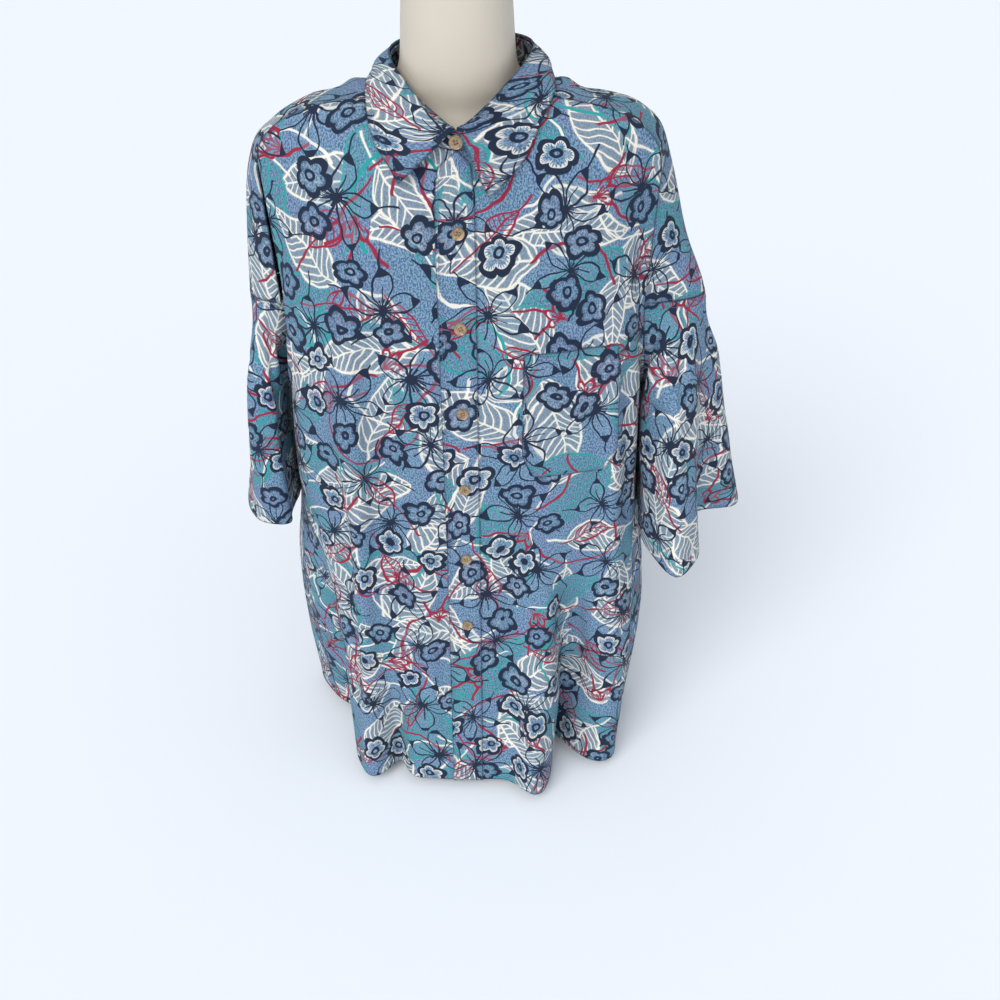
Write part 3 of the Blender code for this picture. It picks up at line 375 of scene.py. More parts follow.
def spline(points, per_span):
    """Smooth line through a few points, by distance between them."""
    points = np.asarray(points, float)
    knots = distances(points)
    return hermite(knots, points, np.linspace(0.0, knots[-1], per_span * (len(points) - 1) + 1))


def with_height(points, height):
    return np.column_stack([points, np.full(len(points), height)])


def mirrored(points, side):
    turned = np.array(points, float)
    turned[..., 0] *= side
    return turned


# ---------------------------------------------------------------- body below the sleeve seams

RING_POINTS = 361
RING_ANGLES = np.linspace(0.0, math.pi, RING_POINTS)
SIDE_INDEX = RING_POINTS // 2


def body_half(side, height):
    """One side of the body's section, from the centre front round to the centre back, as if on +X."""
    half_width, front, back = read_table(BODY, height)[0]
    power = 2.0 / BODY_SQUARENESS
    x = half_width * np.sin(RING_ANGLES).clip(0.0) ** power
    cosine = np.cos(RING_ANGLES)
    y = np.where(cosine > 0.0, -front, back) * np.abs(cosine) ** power
    points = np.column_stack([x, y])
    tangent = np.gradient(points, axis=0)
    tangent /= np.linalg.norm(tangent, axis=1)[:, None]
    outward = np.column_stack([tangent[:, 1], -tangent[:, 0]])
    place = distances(points)
    push = np.zeros(RING_POINTS)
    for fold in FOLDS:
        if fold.side == side:
            grown = smooth_step((fold.start - height) / (fold.start - fold.full))
            centre = fold.upper + (fold.lower - fold.upper) * grown
            push += fold.depth * grown * np.exp(-(((place - centre) / fold.half_width) ** 2))
    push *= smooth_step(place / FOLD_FADE) * smooth_step((place[-1] - place) / FOLD_FADE)
    return points + push[:, None] * outward


def armhole_depth(height, full_depth):
    """How far in front of or behind the side the armhole seam lies, above the underarm."""
    rise = np.clip((height - UNDERARM_HEIGHT) / ARMHOLE_ARCH, 0.0, 1.0)
    return ARMHOLE_LEAST + (full_depth - ARMHOLE_LEAST) * math.sqrt(1.0 - (1.0 - rise) ** 2)


def quarter_turn(centre, start, end):
    angles = np.radians(np.linspace(start, end, TURN_STEPS + 1))
    return centre + FOLD_RADIUS * np.column_stack([np.cos(angles), np.sin(angles)])


def cut_at_depth(path, reach):
    """A path that comes round to the side, cut where it is this far in front of or behind it."""
    beyond = np.nonzero(np.abs(path[:, 1]) <= reach)[0][0]
    before, after = path[beyond - 1], path[beyond]
    t = (abs(before[1]) - reach) / (abs(before[1]) - abs(after[1]))
    return np.vstack([path[:beyond], before + t * (after - before)])


def panel_path(side, height, is_front):
    """Section of a front or of half the back, from the centre out to the side seam or the armhole."""
    ring = body_half(side, height)
    path = ring[: SIDE_INDEX + 1] if is_front else ring[: SIDE_INDEX - 1 : -1]
    if height < UNDERARM_HEIGHT:
        return path
    depth = armhole_depth(height, ARMHOLE_FRONT if is_front else ARMHOLE_BACK)
    path = cut_at_depth(path, depth + FOLD_RADIUS)
    centre = path[-1] + np.array([FOLD_RADIUS, 0.0])
    return np.vstack([path[:-1], quarter_turn(centre, 180.0, 90.0 if is_front else 270.0)])


def armhole_point(side, height, is_front):
    return panel_path(side, height, is_front)[-1]


def panel_row(side, height, is_front):
    """Points of one row, evenly spread on the panel's flat part and closer beside the armhole."""
    if UNDERARM_HEIGHT - UNDERARM_TURN < height < UNDERARM_HEIGHT:
        low = panel_row(side, UNDERARM_HEIGHT - UNDERARM_TURN, is_front)
        high = panel_row(side, UNDERARM_HEIGHT, is_front)
        t = (height - UNDERARM_HEIGHT + UNDERARM_TURN) / UNDERARM_TURN
        return low + t * (high - low)
    path = panel_path(side, height, is_front)
    length = distances(path)[-1]
    turn = FOLD_RADIUS * math.pi / 2.0
    if is_front:
        stops = [(0.0, 0), (PITCHED_COLUMNS * FRONT_PITCH, PITCHED_COLUMNS), (length - turn, PLAIN_COLUMNS)]
    else:
        stops = [(0.0, 0), (length - turn, BACK_PLAIN_COLUMNS)]
    points = along(path, evenly(*stops, (length, TURN_COLUMNS)))
    return mirrored(with_height(points, height), side)


BODY_LEVELS = evenly(
    (HEM_HEIGHT, 0),
    (POCKET_BOTTOM, HEM_ROWS),
    (UNDERARM_HEIGHT - UNDERARM_TURN, 2),
    (UNDERARM_HEIGHT, 1),
    (POCKET_TOP, 4),
    (SLEEVE_SEAM_HEIGHT, 1),
)
ARM_LEVELS = evenly((UNDERARM_HEIGHT, 0), (POCKET_TOP, 4), (SLEEVE_SEAM_HEIGHT, 1))


# ---------------------------------------------------------------- neckline and yoke

def neckline(angle):
    """Neck seam, by angle from the centre back."""
    angle = np.atleast_1d(angle)
    reach = np.where(np.cos(angle) > 0.0, NECK_BACK, NECK_FRONT)
    towards_front = (1.0 - np.cos(angle)) / 2.0
    fall = (NECK_SIDE_RISE - NECK_BACK_RISE) * towards_front**NECK_FALL_POWER
    height = NECK_FRONT_HEIGHT + NECK_SIDE_RISE + NECK_BACK_RISE * np.cos(angle) - fall
    return np.column_stack([NECK_HALF_WIDTH * np.sin(angle), NECK_CENTRE + reach * np.cos(angle), height])


YOKE_STATIONS = evenly(
    (0.0, 0), (EDGE_STATION, DROP_COLUMNS), (NECK_STATION, SLOPE_COLUMNS), (BACK_STATION, NECK_COLUMNS)
)


def drop_line(side, top, is_front):
    """Edge of the yoke from the sleeve seam up to the shoulder's edge, beside the armhole's fold."""
    point = armhole_point(side, SLEEVE_SEAM_HEIGHT, is_front)
    bottom = np.array([point[0], point[1], SLEEVE_SEAM_HEIGHT])
    t = np.linspace(0.0, 1.0, DROP_COLUMNS * DETAIL + 1)[:, None]
    return bottom + t * (top - bottom)


def yoke_rails(side):
    """The yoke's front edge, ridge and back edge, from the sleeve seam to the centre back."""
    drop = DROP_COLUMNS * DETAIL
    slope = drop + SLOPE_COLUMNS * DETAIL
    front_seam = [*YOKE_FRONT_SEAM, (NECK_STATION, *neckline(NECK_SEAM_ANGLE)[0])]
    front = read_table(front_seam, YOKE_STATIONS)
    front[: drop + 1] = drop_line(side, front[drop], True)
    front[slope:] = neckline(np.linspace(NECK_SEAM_ANGLE, 0.0, NECK_COLUMNS * DETAIL + 1))
    back = read_table(YOKE_BACK_SEAM, YOKE_STATIONS)
    back[: drop + 1] = drop_line(side, back[drop], False)
    shoulder = [(station, x, RIDGE_DEPTH, height) for station, x, height in RIDGES[side]]
    return front, read_table(shoulder + list(NECK_RIDGE), YOKE_STATIONS), back


def yoke_half(side):
    """Rows from the front edge over the ridge to the back edge, columns from the sleeve seam inward."""
    front, ridge, back = yoke_rails(side)
    ahead = np.linalg.norm(ridge - front, axis=1)
    behind = np.linalg.norm(back - ridge, axis=1)
    middle = (ahead / (ahead + behind))[:, None]
    rows = []
    for t in np.linspace(0.0, 1.0, YOKE_ROWS * DETAIL + 1):
        from_front = (t - middle) * (t - 1.0) / middle
        from_ridge = t * (t - 1.0) / (middle * (middle - 1.0))
        from_back = t * (t - middle) / (1.0 - middle)
        rows.append(from_front * front + from_ridge * ridge + from_back * back)
    return mirrored(np.array(rows), side)


def yoke_sheet():
    return np.concatenate([yoke_half(-1), yoke_half(+1)[:, -2::-1]], axis=1)


# ---------------------------------------------------------------- fronts and back

def filled(bottom, top, start, end):
    """Sheet between four edges that share their corners."""
    rows, columns = len(start), len(bottom)
    v = np.linspace(0.0, 1.0, rows)[:, None, None]
    u = np.linspace(0.0, 1.0, columns)[None, :, None]
    ruled_up = (1 - v) * bottom[None] + v * top[None]
    ruled_across = (1 - u) * start[:, None] + u * end[:, None]
    corners = (1 - v) * ((1 - u) * bottom[0] + u * bottom[-1]) + v * ((1 - u) * top[0] + u * top[-1])
    return ruled_up + ruled_across - corners


def relaxed(sheet, first_row, rounds):
    """Even out a sheet's inner points above a row, and leave its edges."""
    sheet = sheet.copy()
    for _ in range(rounds):
        inner = sheet[first_row - 1 : -2, 1:-1] + sheet[first_row + 1 :, 1:-1]
        inner = inner + sheet[first_row:-1, :-2] + sheet[first_row:-1, 2:]
        sheet[first_row:-1, 1:-1] += RELAX_SHARE * (inner / 4.0 - sheet[first_row:-1, 1:-1])
    return sheet


def front_sheet(side):
    """Front panel: rows from the hem to the yoke seam, columns from the centre front outward."""
    lower = np.array([panel_row(side, level, True) for level in BODY_LEVELS])
    yoke = yoke_half(side)
    drop = DROP_COLUMNS * DETAIL
    slope = drop + SLOPE_COLUMNS * DETAIL
    armhole = split_chords(yoke[0, : drop + 1], 2)
    top = split_chords(yoke[0, drop : slope + 1], 2)[::-1]
    centre_rows = DROP_COLUMNS * DETAIL
    rise = np.linspace(0.0, 1.0, centre_rows + 1)[:, None]
    collar_front = mirrored(neckline(math.pi)[0], side)
    centre = lower[-1, 0] + rise * (collar_front - lower[-1, 0])
    neck = mirrored(neckline(np.linspace(math.pi, NECK_SEAM_ANGLE, centre_rows + 1)), side)
    inner = np.concatenate([centre, neck[1:]])
    upper = filled(lower[-1], top, inner, armhole)
    sheet = np.concatenate([lower, upper[1:]])
    return relaxed(sheet, len(lower) - RELAXED_ROWS * DETAIL, FRONT_ROUNDS * DETAIL**2)


def back_sheet():
    """Back panel: rows from the hem to the yoke seam, columns from the wearer's right to the left."""
    halves = [(panel_row(-1, level, False), panel_row(+1, level, False)) for level in BODY_LEVELS]
    lower = np.array([np.concatenate([right[::-1], left[1:]]) for right, left in halves])
    yoke = yoke_sheet()
    drop = DROP_COLUMNS * DETAIL
    upper = filled(lower[-1], yoke[-1, drop:-drop], yoke[-1, : drop + 1], yoke[-1, : -drop - 2 : -1])
    sheet = np.concatenate([lower, upper[1:]])
    return relaxed(sheet, len(lower) - RELAXED_ROWS * DETAIL, BACK_ROUNDS * DETAIL**2)


# ---------------------------------------------------------------- sleeves

def sleeve_outline(side, height):
    """Section of a sleeve as if on +X, from its inner side round the front, the outside and the back.

    With it come the distances along it of its front crest and of its back.
    """
    row = SleeveSection(height, *read_table(SLEEVES[side], height)[0])
    if height < UNDERARM_HEIGHT:
        start = end = (row.inner, 0.0)
        turn_in = turn_out = np.empty((0, 2))
    else:
        front = armhole_point(side, height, True)
        back = armhole_point(side, height, False)
        turn_in = quarter_turn(front - np.array([0.0, FOLD_RADIUS]), 90.0, 0.0)
        turn_out = quarter_turn(back + np.array([0.0, FOLD_RADIUS]), 0.0, -90.0)
        start, end = turn_in[-1], turn_out[0]
    front_reach = INNER_SHARE * row.front_y + (1.0 - INNER_SHARE) * start[1]
    back_reach = INNER_SHARE * row.back_y + (1.0 - INNER_SHARE) * end[1]
    behind_x = OUTER_BACK_SHARE * row.outer_x + (1.0 - OUTER_BACK_SHARE) * row.back_x
    knots = np.array([
        start,
        (start[0] + INNER_FRONT_STEP, front_reach),
        (row.front_x, row.front_y),
        (row.crest_x, row.crest_y),
        (row.trough_x, row.trough_y),
        (row.outer_x, row.outer_y),
        (behind_x, OUTER_BACK_DEPTH * row.back_y),
        (row.back_x, row.back_y),
        (end[0] + INNER_BACK_STEP, back_reach),
        end,
    ])
    outline = spline(knots, KNOT_STEPS)
    first = max(len(turn_in) - 1, 0)
    whole = np.vstack([turn_in[:-1], outline, turn_out[1:]])
    reached = distances(knots)
    crest, back = np.round(reached[[CREST_KNOT, BACK_KNOT]] / reached[-1] * (len(outline) - 1)).astype(int)
    places = distances(whole)
    return whole, places[first + crest], places[first + back]


def sleeve_row(side, height, top_edge):
    if UNDERARM_HEIGHT - UNDERARM_TURN < height < UNDERARM_HEIGHT:
        low = sleeve_row(side, UNDERARM_HEIGHT - UNDERARM_TURN, top_edge)
        high = sleeve_row(side, UNDERARM_HEIGHT, top_edge)
        t = (height - UNDERARM_HEIGHT + UNDERARM_TURN) / UNDERARM_TURN
        return low + t * (high - low)
    outline, crest, back = sleeve_outline(side, height)
    length = distances(outline)[-1]
    turn = FOLD_RADIUS * math.pi / 2.0
    stops = zip((0.0, turn, crest, back, length - turn, length), (0, *SLEEVE_COLUMNS))
    points = along(outline, evenly(*stops))
    if height > SLEEVE_BLEND_HEIGHT:
        blend = smooth_step((height - SLEEVE_BLEND_HEIGHT) / (SLEEVE_SEAM_HEIGHT - SLEEVE_BLEND_HEIGHT))
        across = np.linspace(0.0, 1.0, len(points))[:, None]
        mixed = (1.0 - blend) * points + blend * top_edge[:, :2]
        near_front = (1.0 - across) ** SLEEVE_EDGE_POWER * (points[0] - mixed[0])
        near_back = across**SLEEVE_EDGE_POWER * (points[-1] - mixed[-1])
        points = mixed + near_front + near_back
    return mirrored(with_height(points, height), side)


def sleeve_sheet(side):
    """Sleeve: rows from the cuff to the yoke, columns round from the front of the underarm seam."""
    top_edge = mirrored(split_chords(yoke_half(side)[:, 0], 2), side)
    below = evenly((CUFF_HEIGHT, 0), (UNDERARM_HEIGHT - UNDERARM_TURN, CUFF_ROWS), (UNDERARM_HEIGHT, 1))
    levels = below + ARM_LEVELS[1:-1]
    rows = [sleeve_row(side, level, top_edge) for level in levels]
    rows.append(mirrored(top_edge, side))
    sheet = np.array(rows)
    hang = CUFF_HANGS[side]
    low = smooth_step((UNDERARM_HEIGHT - UNDERARM_TURN - sheet[..., 2]) / (UNDERARM_HEIGHT - CUFF_HEIGHT))
    sheet[..., 2] += low * (hang.slope * sheet[..., 1] - hang.drop)
    return sheet


# ---------------------------------------------------------------- collar

def collar_fold(side, angle):
    """Upper edge of the collar, where the leaf folds over, by angle from the centre back."""
    angle = np.atleast_1d(angle)
    sine, cosine = np.sin(angle), np.cos(angle)
    ahead = cosine < 0.0
    reach = np.where(ahead, COLLAR_FRONT, COLLAR_BACK)
    power = np.where(ahead, COLLAR_POINTEDNESS, 1.0)
    x = COLLAR_HALF_WIDTH * np.sign(sine) * np.abs(sine) ** power + side * COLLAR_DRIFT * sine**2
    y = NECK_CENTRE + reach * np.sign(cosine) * np.abs(cosine) ** power
    height = COLLAR_BACK_HEIGHT - COLLAR_FALL * ((1.0 - cosine) / 2.0) ** COLLAR_FALL_POWER
    height += side * COLLAR_SWAY * sine**2
    notch = np.maximum(1.0 - (math.pi - angle) / COLLAR_NOTCH_REACH, 0.0) ** COLLAR_NOTCH_POWER
    height -= COLLAR_NOTCH * notch
    return np.column_stack([x, y, height])


def collar_angles():
    """The angles of the neckline's points, so that the collar's columns stand on them."""
    return np.array(evenly((0.0, 0), (NECK_SEAM_ANGLE, NECK_COLUMNS), (math.pi, DROP_COLUMNS)))


def away_from_neck(angles):
    """Level directions out from the middle of the neck."""
    return with_height(np.column_stack([np.sin(angles), np.cos(angles)]), 0.0)


def stand_half(side):
    """Collar stand: it laps past the centre front, the wearer's left end over the right one."""
    lap = math.pi + np.linspace(0.0, COLLAR_LAP, DETAIL + 1)
    angles = np.concatenate([collar_angles(), lap[1:]])
    low = neckline(angles)
    high = collar_fold(side, angles)
    rise = (high - low) / np.linalg.norm(high - low, axis=1)[:, None]
    low = low + (WALL / 2.0 + SEAM_GAP) * rise
    high = high - (WALL / 2.0 + SEAM_GAP) * rise
    lapped = smooth_step((angles - math.pi) / COLLAR_LAP + COLLAR_LAPS_AHEAD)
    shift = side * COLLAR_LAP_DEPTH * lapped[:, None] * away_from_neck(angles)
    rows = [low + t * (high - low) + shift for t in np.linspace(0.0, 1.0, STAND_ROWS * DETAIL + 1)]
    return mirrored(np.array(rows), side)


def leaf_half(side):
    """Collar leaf: rows from the fold down to the outer edge, columns from the centre back forward."""
    angles = collar_angles()
    ahead = (angles - NECK_SEAM_ANGLE) / (math.pi - NECK_SEAM_ANGLE)
    angles = np.where(ahead > 0.0, NECK_SEAM_ANGLE + ahead * (LEAF_END - NECK_SEAM_ANGLE), angles)
    fold = collar_fold(side, angles)
    outward = away_from_neck(angles)
    edge = read_table(LEAF_EDGES[side], np.linspace(0.0, LEAF_END_STATION, len(angles)))
    crown = fold + LEAF_ROLL * (LEAF_CROWN_OUT * outward + np.array([0.0, 0.0, LEAF_CROWN_RISE]))
    rolled = fold + LEAF_ROLL * outward
    rows = [crown, rolled]
    for t in np.linspace(0.0, 1.0, LEAF_ROWS * DETAIL + 1)[1:]:
        bulge = LEAF_BULGE * math.sin(math.pi * t)
        rows.append(rolled + t * (edge - rolled) + bulge * outward)
    return mirrored(np.array(rows), side)


def lifted_off(sheet, others, clearance):
    """A sheet whose points are moved out until they lie this far off the others' outer sides."""
    vertices = []
    faces = []
    for other in others:
        faces.extend((len(vertices) + grid_quads(*other.shape[:2])).tolist())
        vertices.extend(other.reshape(-1, 3).tolist())
    tree = BVHTree.FromPolygons(vertices, faces)
    lifted = sheet.copy()
    rows, columns = sheet.shape[:2]
    for _ in range(LIFT_ROUNDS):
        for size in (1, 2):
            for row, column in np.ndindex(rows - size + 1, columns - size + 1):
                patch = lifted[row : row + size, column : column + size]
                middle = Vector(patch.reshape(-1, 3).mean(axis=0))
                nearest, normal, _, _ = tree.find_nearest(middle)
                depth = (middle - nearest).dot(normal)
                if depth < clearance:
                    patch += (clearance - depth) * np.array(normal)
    return lifted


def joined_halves(half):
    """Both halves of a collar piece in one sheet, from the wearer's right front to the left front."""
    return np.concatenate([half(-1)[:, ::-1], half(+1)[:, 1:]], axis=1)


# ---------------------------------------------------------------- pieces laid on the panels

def sheet_normals(sheet):
    normal = np.cross(np.gradient(sheet, axis=1), np.gradient(sheet, axis=0))
    return normal / np.linalg.norm(normal, axis=2, keepdims=True)


def placket_sheet(front_left, front_right):
    """Strip over the centre front, from the hem to the neckline, moved out from both fronts."""
    rows = len(BODY_LEVELS) + DROP_COLUMNS * DETAIL
    sheet = []
    for row in range(rows):
        over = along(front_right[row], np.linspace(PLACKET_OUTER, 0.0, 2 * DETAIL + 1))
        under = along(front_left[row], np.linspace(0.0, PLACKET_INNER, 2 * DETAIL + 1))
        sheet.append(np.concatenate([over[:-1], under]))
    sheet = np.array(sheet)
    return sheet + (WALL + SEAM_GAP) * sheet_normals(sheet)


def pocket_sheet(front_left):
    """Pocket with clipped lower corners, made from the left front's own points, moved out."""
    bottom = HEM_ROWS * DETAIL
    top = len(BODY_LEVELS) - 1 - DETAIL
    columns = slice(POCKET_FIRST_COLUMN * DETAIL, POCKET_LAST_COLUMN * DETAIL + 1)
    outward = sheet_normals(front_left)[bottom : top + 1, columns]
    sheet = front_left[bottom : top + 1, columns] + (WALL + SEAM_GAP) * outward
    last = sheet.shape[1] - 1
    for row in range(DETAIL):
        clip = POCKET_CLIP * (DETAIL - row)
        sheet[row] = between(sheet[row], np.linspace(clip, last - clip, last + 1))
    return sheet


# ---------------------------------------------------------------- borders and seams

def border_cells(rows, columns):
    """Row and column of each border point of a sheet, once round."""
    cells = [(0, column) for column in range(columns)]
    cells += [(row, columns - 1) for row in range(1, rows)]
    cells += [(rows - 1, column) for column in range(columns - 2, -1, -1)]
    cells += [(row, 0) for row in range(rows - 2, 0, -1)]
    return cells


def seam_normals(sheets):
    """Normals of sewn sheets. Where two edges meet they share one, so that their walls are mitred."""
    normals = {name: sheet_normals(sheet) for name, sheet in sheets.items()}
    cells = []
    for name, sheet in sheets.items():
        cells.extend((name, row, column) for row, column in border_cells(*sheet.shape[:2]))
    tree = KDTree(len(cells))
    for index, (name, row, column) in enumerate(cells):
        tree.insert(sheets[name][row, column], index)
    tree.balance()
    shared = {name: normal.copy() for name, normal in normals.items()}
    met = {name: np.zeros(sheet.shape[:2], bool) for name, sheet in sheets.items()}
    for name, row, column in cells:
        total = np.zeros(3)
        near = tree.find_range(sheets[name][row, column], SAME_POINT)
        for _, index, _ in near:
            other, other_row, other_column = cells[index]
            total += normals[other][other_row, other_column]
        shared[name][row, column] = total / np.linalg.norm(total)
        met[name][row, column] = len(near) > 1
    for name, sheet in sheets.items():
        ring = border_cells(*sheet.shape[:2])
        for before, here, after in zip(ring[-1:] + ring[:-1], ring, ring[1:] + ring[:1]):
            if met[name][before] and met[name][after] and not met[name][here]:
                shared[name][here] = 0.5 * (shared[name][before] + shared[name][after])
    return shared


# ---------------------------------------------------------------- cloth as sewn: metres, creases, wall

BODY_PIECES = ("front_left", "front_right", "back", "yoke", "sleeve_left", "sleeve_right")

# Where each piece was cut out of the printed cloth, in metres, and how far it was turned in degrees
Lay = namedtuple("Lay", "u v turn")
LAYS = {
    "front_left": Lay(0.020, 0.000, 0.0),
    "front_right": Lay(1.340, 0.130, 0.0),
    "placket": Lay(2.150, 0.350, 0.0),
    "back": Lay(3.400, 0.200, 0.0),
    "yoke": Lay(4.700, 0.700, 90.0),
    "sleeve_left": Lay(5.600, 0.400, 0.0),
    "sleeve_right": Lay(6.830, 0.900, 0.0),
    "collar_stand": Lay(7.700, 0.100, 0.0),
    "collar_leaf": Lay(8.260, 0.560, 0.0),
    "pocket": Lay(9.130, 0.230, 0.0),
}

# Pieces whose cloth runs straight along them, the step between the points that the others' flat shapes are
# found from, and the places between two border points that distances are measured to
STRAIGHT_PIECES = ("placket", "collar_stand", "collar_leaf")
FLAT_STEP = 3
BORDER_PARTS = 10

# Where the dropped shoulder seams turn, how far round them the cloth is smoothed (and how much further points
# are taken along), how often, and the share of the way in each round
SOFT_PLACES = ((0.226, 0.000, 0.605), (-0.213, 0.000, 0.605))
SOFT_RADIUS = 0.072
SOFT_MARGIN = 1.3
SOFT_ROUNDS = 70
SOFT_SHARE = 0.5

# How many layers of cotton each piece is sewn from, where it is more than one
LAYERS = {"placket": 2.0, "collar_stand": 2.0, "collar_leaf": 2.0, "yoke": 1.5}

# Creases pressed into a piece: where each starts and ends, across (x, or the share of the way round a
# sleeve) and in height, how far it bows to one side, and its half width and depth (+ is outward)
Crease = namedtuple("Crease", "across height to_across to_height bow half_width depth")
CREASES = {
    "front_left": (
        (0.134, 0.590, 0.161, 0.140, 0.000, 0.010, 0.0060),
        (0.152, 0.600, 0.178, 0.200, 0.000, 0.010, -0.0060),
        (0.128, 0.650, 0.118, 0.500, -0.004, 0.014, -0.0035),
        (0.100, 0.570, 0.060, 0.600, 0.004, 0.012, -0.0030),
        (0.076, 0.350, 0.100, 0.020, 0.000, 0.009, 0.0055),
        (0.050, 0.380, 0.046, 0.030, -0.004, 0.011, -0.0045),
        (0.108, 0.310, 0.124, 0.070, 0.002, 0.012, -0.0095),
        (0.060, 0.600, 0.066, 0.420, 0.004, 0.013, 0.0025),
    ),
    "front_right": (
        (-0.101, 0.660, -0.114, 0.120, 0.003, 0.010, 0.0070),
        (-0.120, 0.640, -0.133, 0.440, 0.000, 0.010, -0.0040),
        (-0.127, 0.490, -0.131, 0.060, 0.000, 0.010, -0.0115),
        (-0.078, 0.640, -0.072, 0.060, 0.005, 0.013, -0.0045),
        (-0.045, 0.420, -0.042, 0.030, 0.003, 0.012, 0.0035),
        (-0.060, 0.600, -0.096, 0.530, 0.003, 0.010, -0.0025),
        (-0.026, 0.330, -0.022, 0.040, -0.003, 0.009, -0.0030),
    ),
    "back": (
        (0.120, 0.580, 0.105, 0.050, 0.008, 0.014, 0.0070),
        (0.070, 0.640, 0.060, 0.080, -0.006, 0.014, -0.0075),
        (0.015, 0.580, 0.020, 0.050, 0.005, 0.015, 0.0060),
        (-0.050, 0.650, -0.045, 0.070, 0.005, 0.013, -0.0070),
        (-0.105, 0.590, -0.115, 0.050, -0.006, 0.014, 0.0070),
        (0.035, 0.300, 0.042, 0.020, 0.003, 0.011, -0.0040),
        (-0.080, 0.330, -0.078, 0.020, -0.003, 0.011, 0.0040),
    ),
    "sleeve_left": (
        (0.20, 0.580, 0.24, 0.360, 0.010, 0.028, -0.0055),
        (0.12, 0.560, 0.16, 0.350, -0.010, 0.025, 0.0040),
        (0.62, 0.550, 0.60, 0.350, 0.020, 0.035, -0.0055),
        (0.42, 0.640, 0.40, 0.470, 0.010, 0.030, -0.0035),
    ),
    "sleeve_right": (
        (0.72, 0.560, 0.70, 0.350, 0.010, 0.030, 0.0040),
        (0.84, 0.620, 0.82, 0.350, 0.010, 0.025, -0.0040),
        (0.40, 0.560, 0.42, 0.350, 0.020, 0.035, -0.0055),
        (0.60, 0.640, 0.62, 0.480, 0.010, 0.030, -0.0035),
    ),
}
CREASE_TAPER = 3.0
SEAM_FADE = 0.016

# Shallow waves of cloth that has hung: how close they are across and up, how much closer and weaker the
# finer ones are, how far apart the pieces are in the noise, and their depth
CRUMPLE_SCALE = (14.0, 9.0)
CRUMPLE_FINER = 2.3
CRUMPLE_FINER_SHARE = 0.5
CRUMPLE_STEP = 3.7
CRUMPLE_DEPTH = 0.0014

# The wearer's right front folds sharply in over the sleeve along the armhole, between these heights: how
# deep the seam lies, over what width beside it, how far the front's fold laps over it, where the lap is
# fullest (in widths) and where it starts, and the coarse column that it is aimed away from
FOLD_IN_LOW = 0.484
FOLD_IN_HIGH = 0.735
FOLD_IN_FADE = 0.016
FOLD_IN_DEPTH = 0.018
FOLD_IN_WIDTH = 0.0058
FOLD_IN_LAP = 0.0045
FOLD_IN_LAP_PLACE = 1.3
FOLD_IN_LAP_START = 0.003
FOLD_IN_AIM = 3

# Columns of a sheet that folds in, counted in its own even ones, as far as they are closer
FINE_COLUMNS = (0.0, 0.2, 0.4, 0.6, 0.8, 1.0, 1.25, 1.5, 1.75, 2.0, 2.33, 2.67, 3.0, 3.5)


def new_object(name, mesh):
    """Object for a mesh, linked and made the only selected one."""
    thing = bpy.data.objects.new(name, mesh)
    bpy.context.collection.objects.link(thing)
    return only(thing)


def new_mesh(name, vertices, faces):
    mesh = bpy.data.meshes.new(name)
    mesh.from_pydata(np.asarray(vertices).tolist(), [], faces)
    return mesh


def corner_vertices(mesh):
    """The vertex of each face corner."""
    index = np.zeros(len(mesh.loops), np.int32)
    mesh.loops.foreach_get("vertex_index", index)
    return index


def unwrapped(sheet):
    """A sheet laid flat at its true area, with its middle column upright from the origin."""
    rows, columns = sheet.shape[:2]
    thing = new_object("flat", new_mesh("flat", sheet.reshape(-1, 3), grid_quads(rows, columns).tolist()))
    bpy.ops.object.mode_set(mode="EDIT")
    bpy.ops.mesh.select_all(action="SELECT")
    bpy.ops.uv.unwrap(method="ANGLE_BASED", margin=0.0)
    bpy.ops.object.mode_set(mode="OBJECT")
    mesh = thing.data
    places = np.zeros(2 * len(mesh.loops), np.float32)
    mesh.uv_layers[0].data.foreach_get("uv", places)
    flat = np.zeros((rows * columns, 2))
    flat[corner_vertices(mesh)] = places.reshape(-1, 2)
    bpy.data.objects.remove(thing)
    flat = flat.reshape(rows, columns, 2)
    flat *= math.sqrt(sheet_area(sheet) / sheet_area(np.pad(flat, ((0, 0), (0, 0), (0, 1)))))
    middle = columns // 2
    upward = flat[-1, middle] - flat[0, middle]
    upward /= np.linalg.norm(upward)
    flat = flat - flat[0, middle]
    return np.stack([flat @ np.array([upward[1], -upward[0]]), flat @ upward], axis=2)


def flattened(sheet, name):
    """Each point's place on the flat cloth in metres: u across and v up from the middle of the lowest row."""
    rows, columns = sheet.shape[:2]
    if name in STRAIGHT_PIECES:
        u = distances(sheet, 1)
        return np.stack([u - u[:, columns // 2, None], distances(sheet, 0)], axis=2)
    row_places = np.unique(np.append(np.arange(0, rows, FLAT_STEP), rows - 1))
    column_places = np.unique(np.append(np.arange(0, columns, FLAT_STEP), columns - 1))
    flat = unwrapped(sheet[row_places][:, column_places])
    taller = [interpolated(np.arange(rows), row_places, column) for column in flat.transpose(1, 0, 2)]
    rows_taller = np.stack(taller, axis=1)
    return np.array([interpolated(np.arange(columns), column_places, row) for row in rows_taller])


def grid_quads(rows, columns):
    """Four-sided faces over a grid of points."""
    corner = (np.arange(rows - 1)[:, None] * columns + np.arange(columns - 1)[None]).ravel()
    return np.stack([corner, corner + 1, corner + columns + 1, corner + columns], axis=1)


def sheet_area(sheet):
    """Area of a sheet of points."""
    across = sheet[:-1, 1:] - sheet[:-1, :-1]
    up = sheet[1:, :-1] - sheet[:-1, :-1]
    return np.linalg.norm(np.cross(across, up), axis=2).sum()


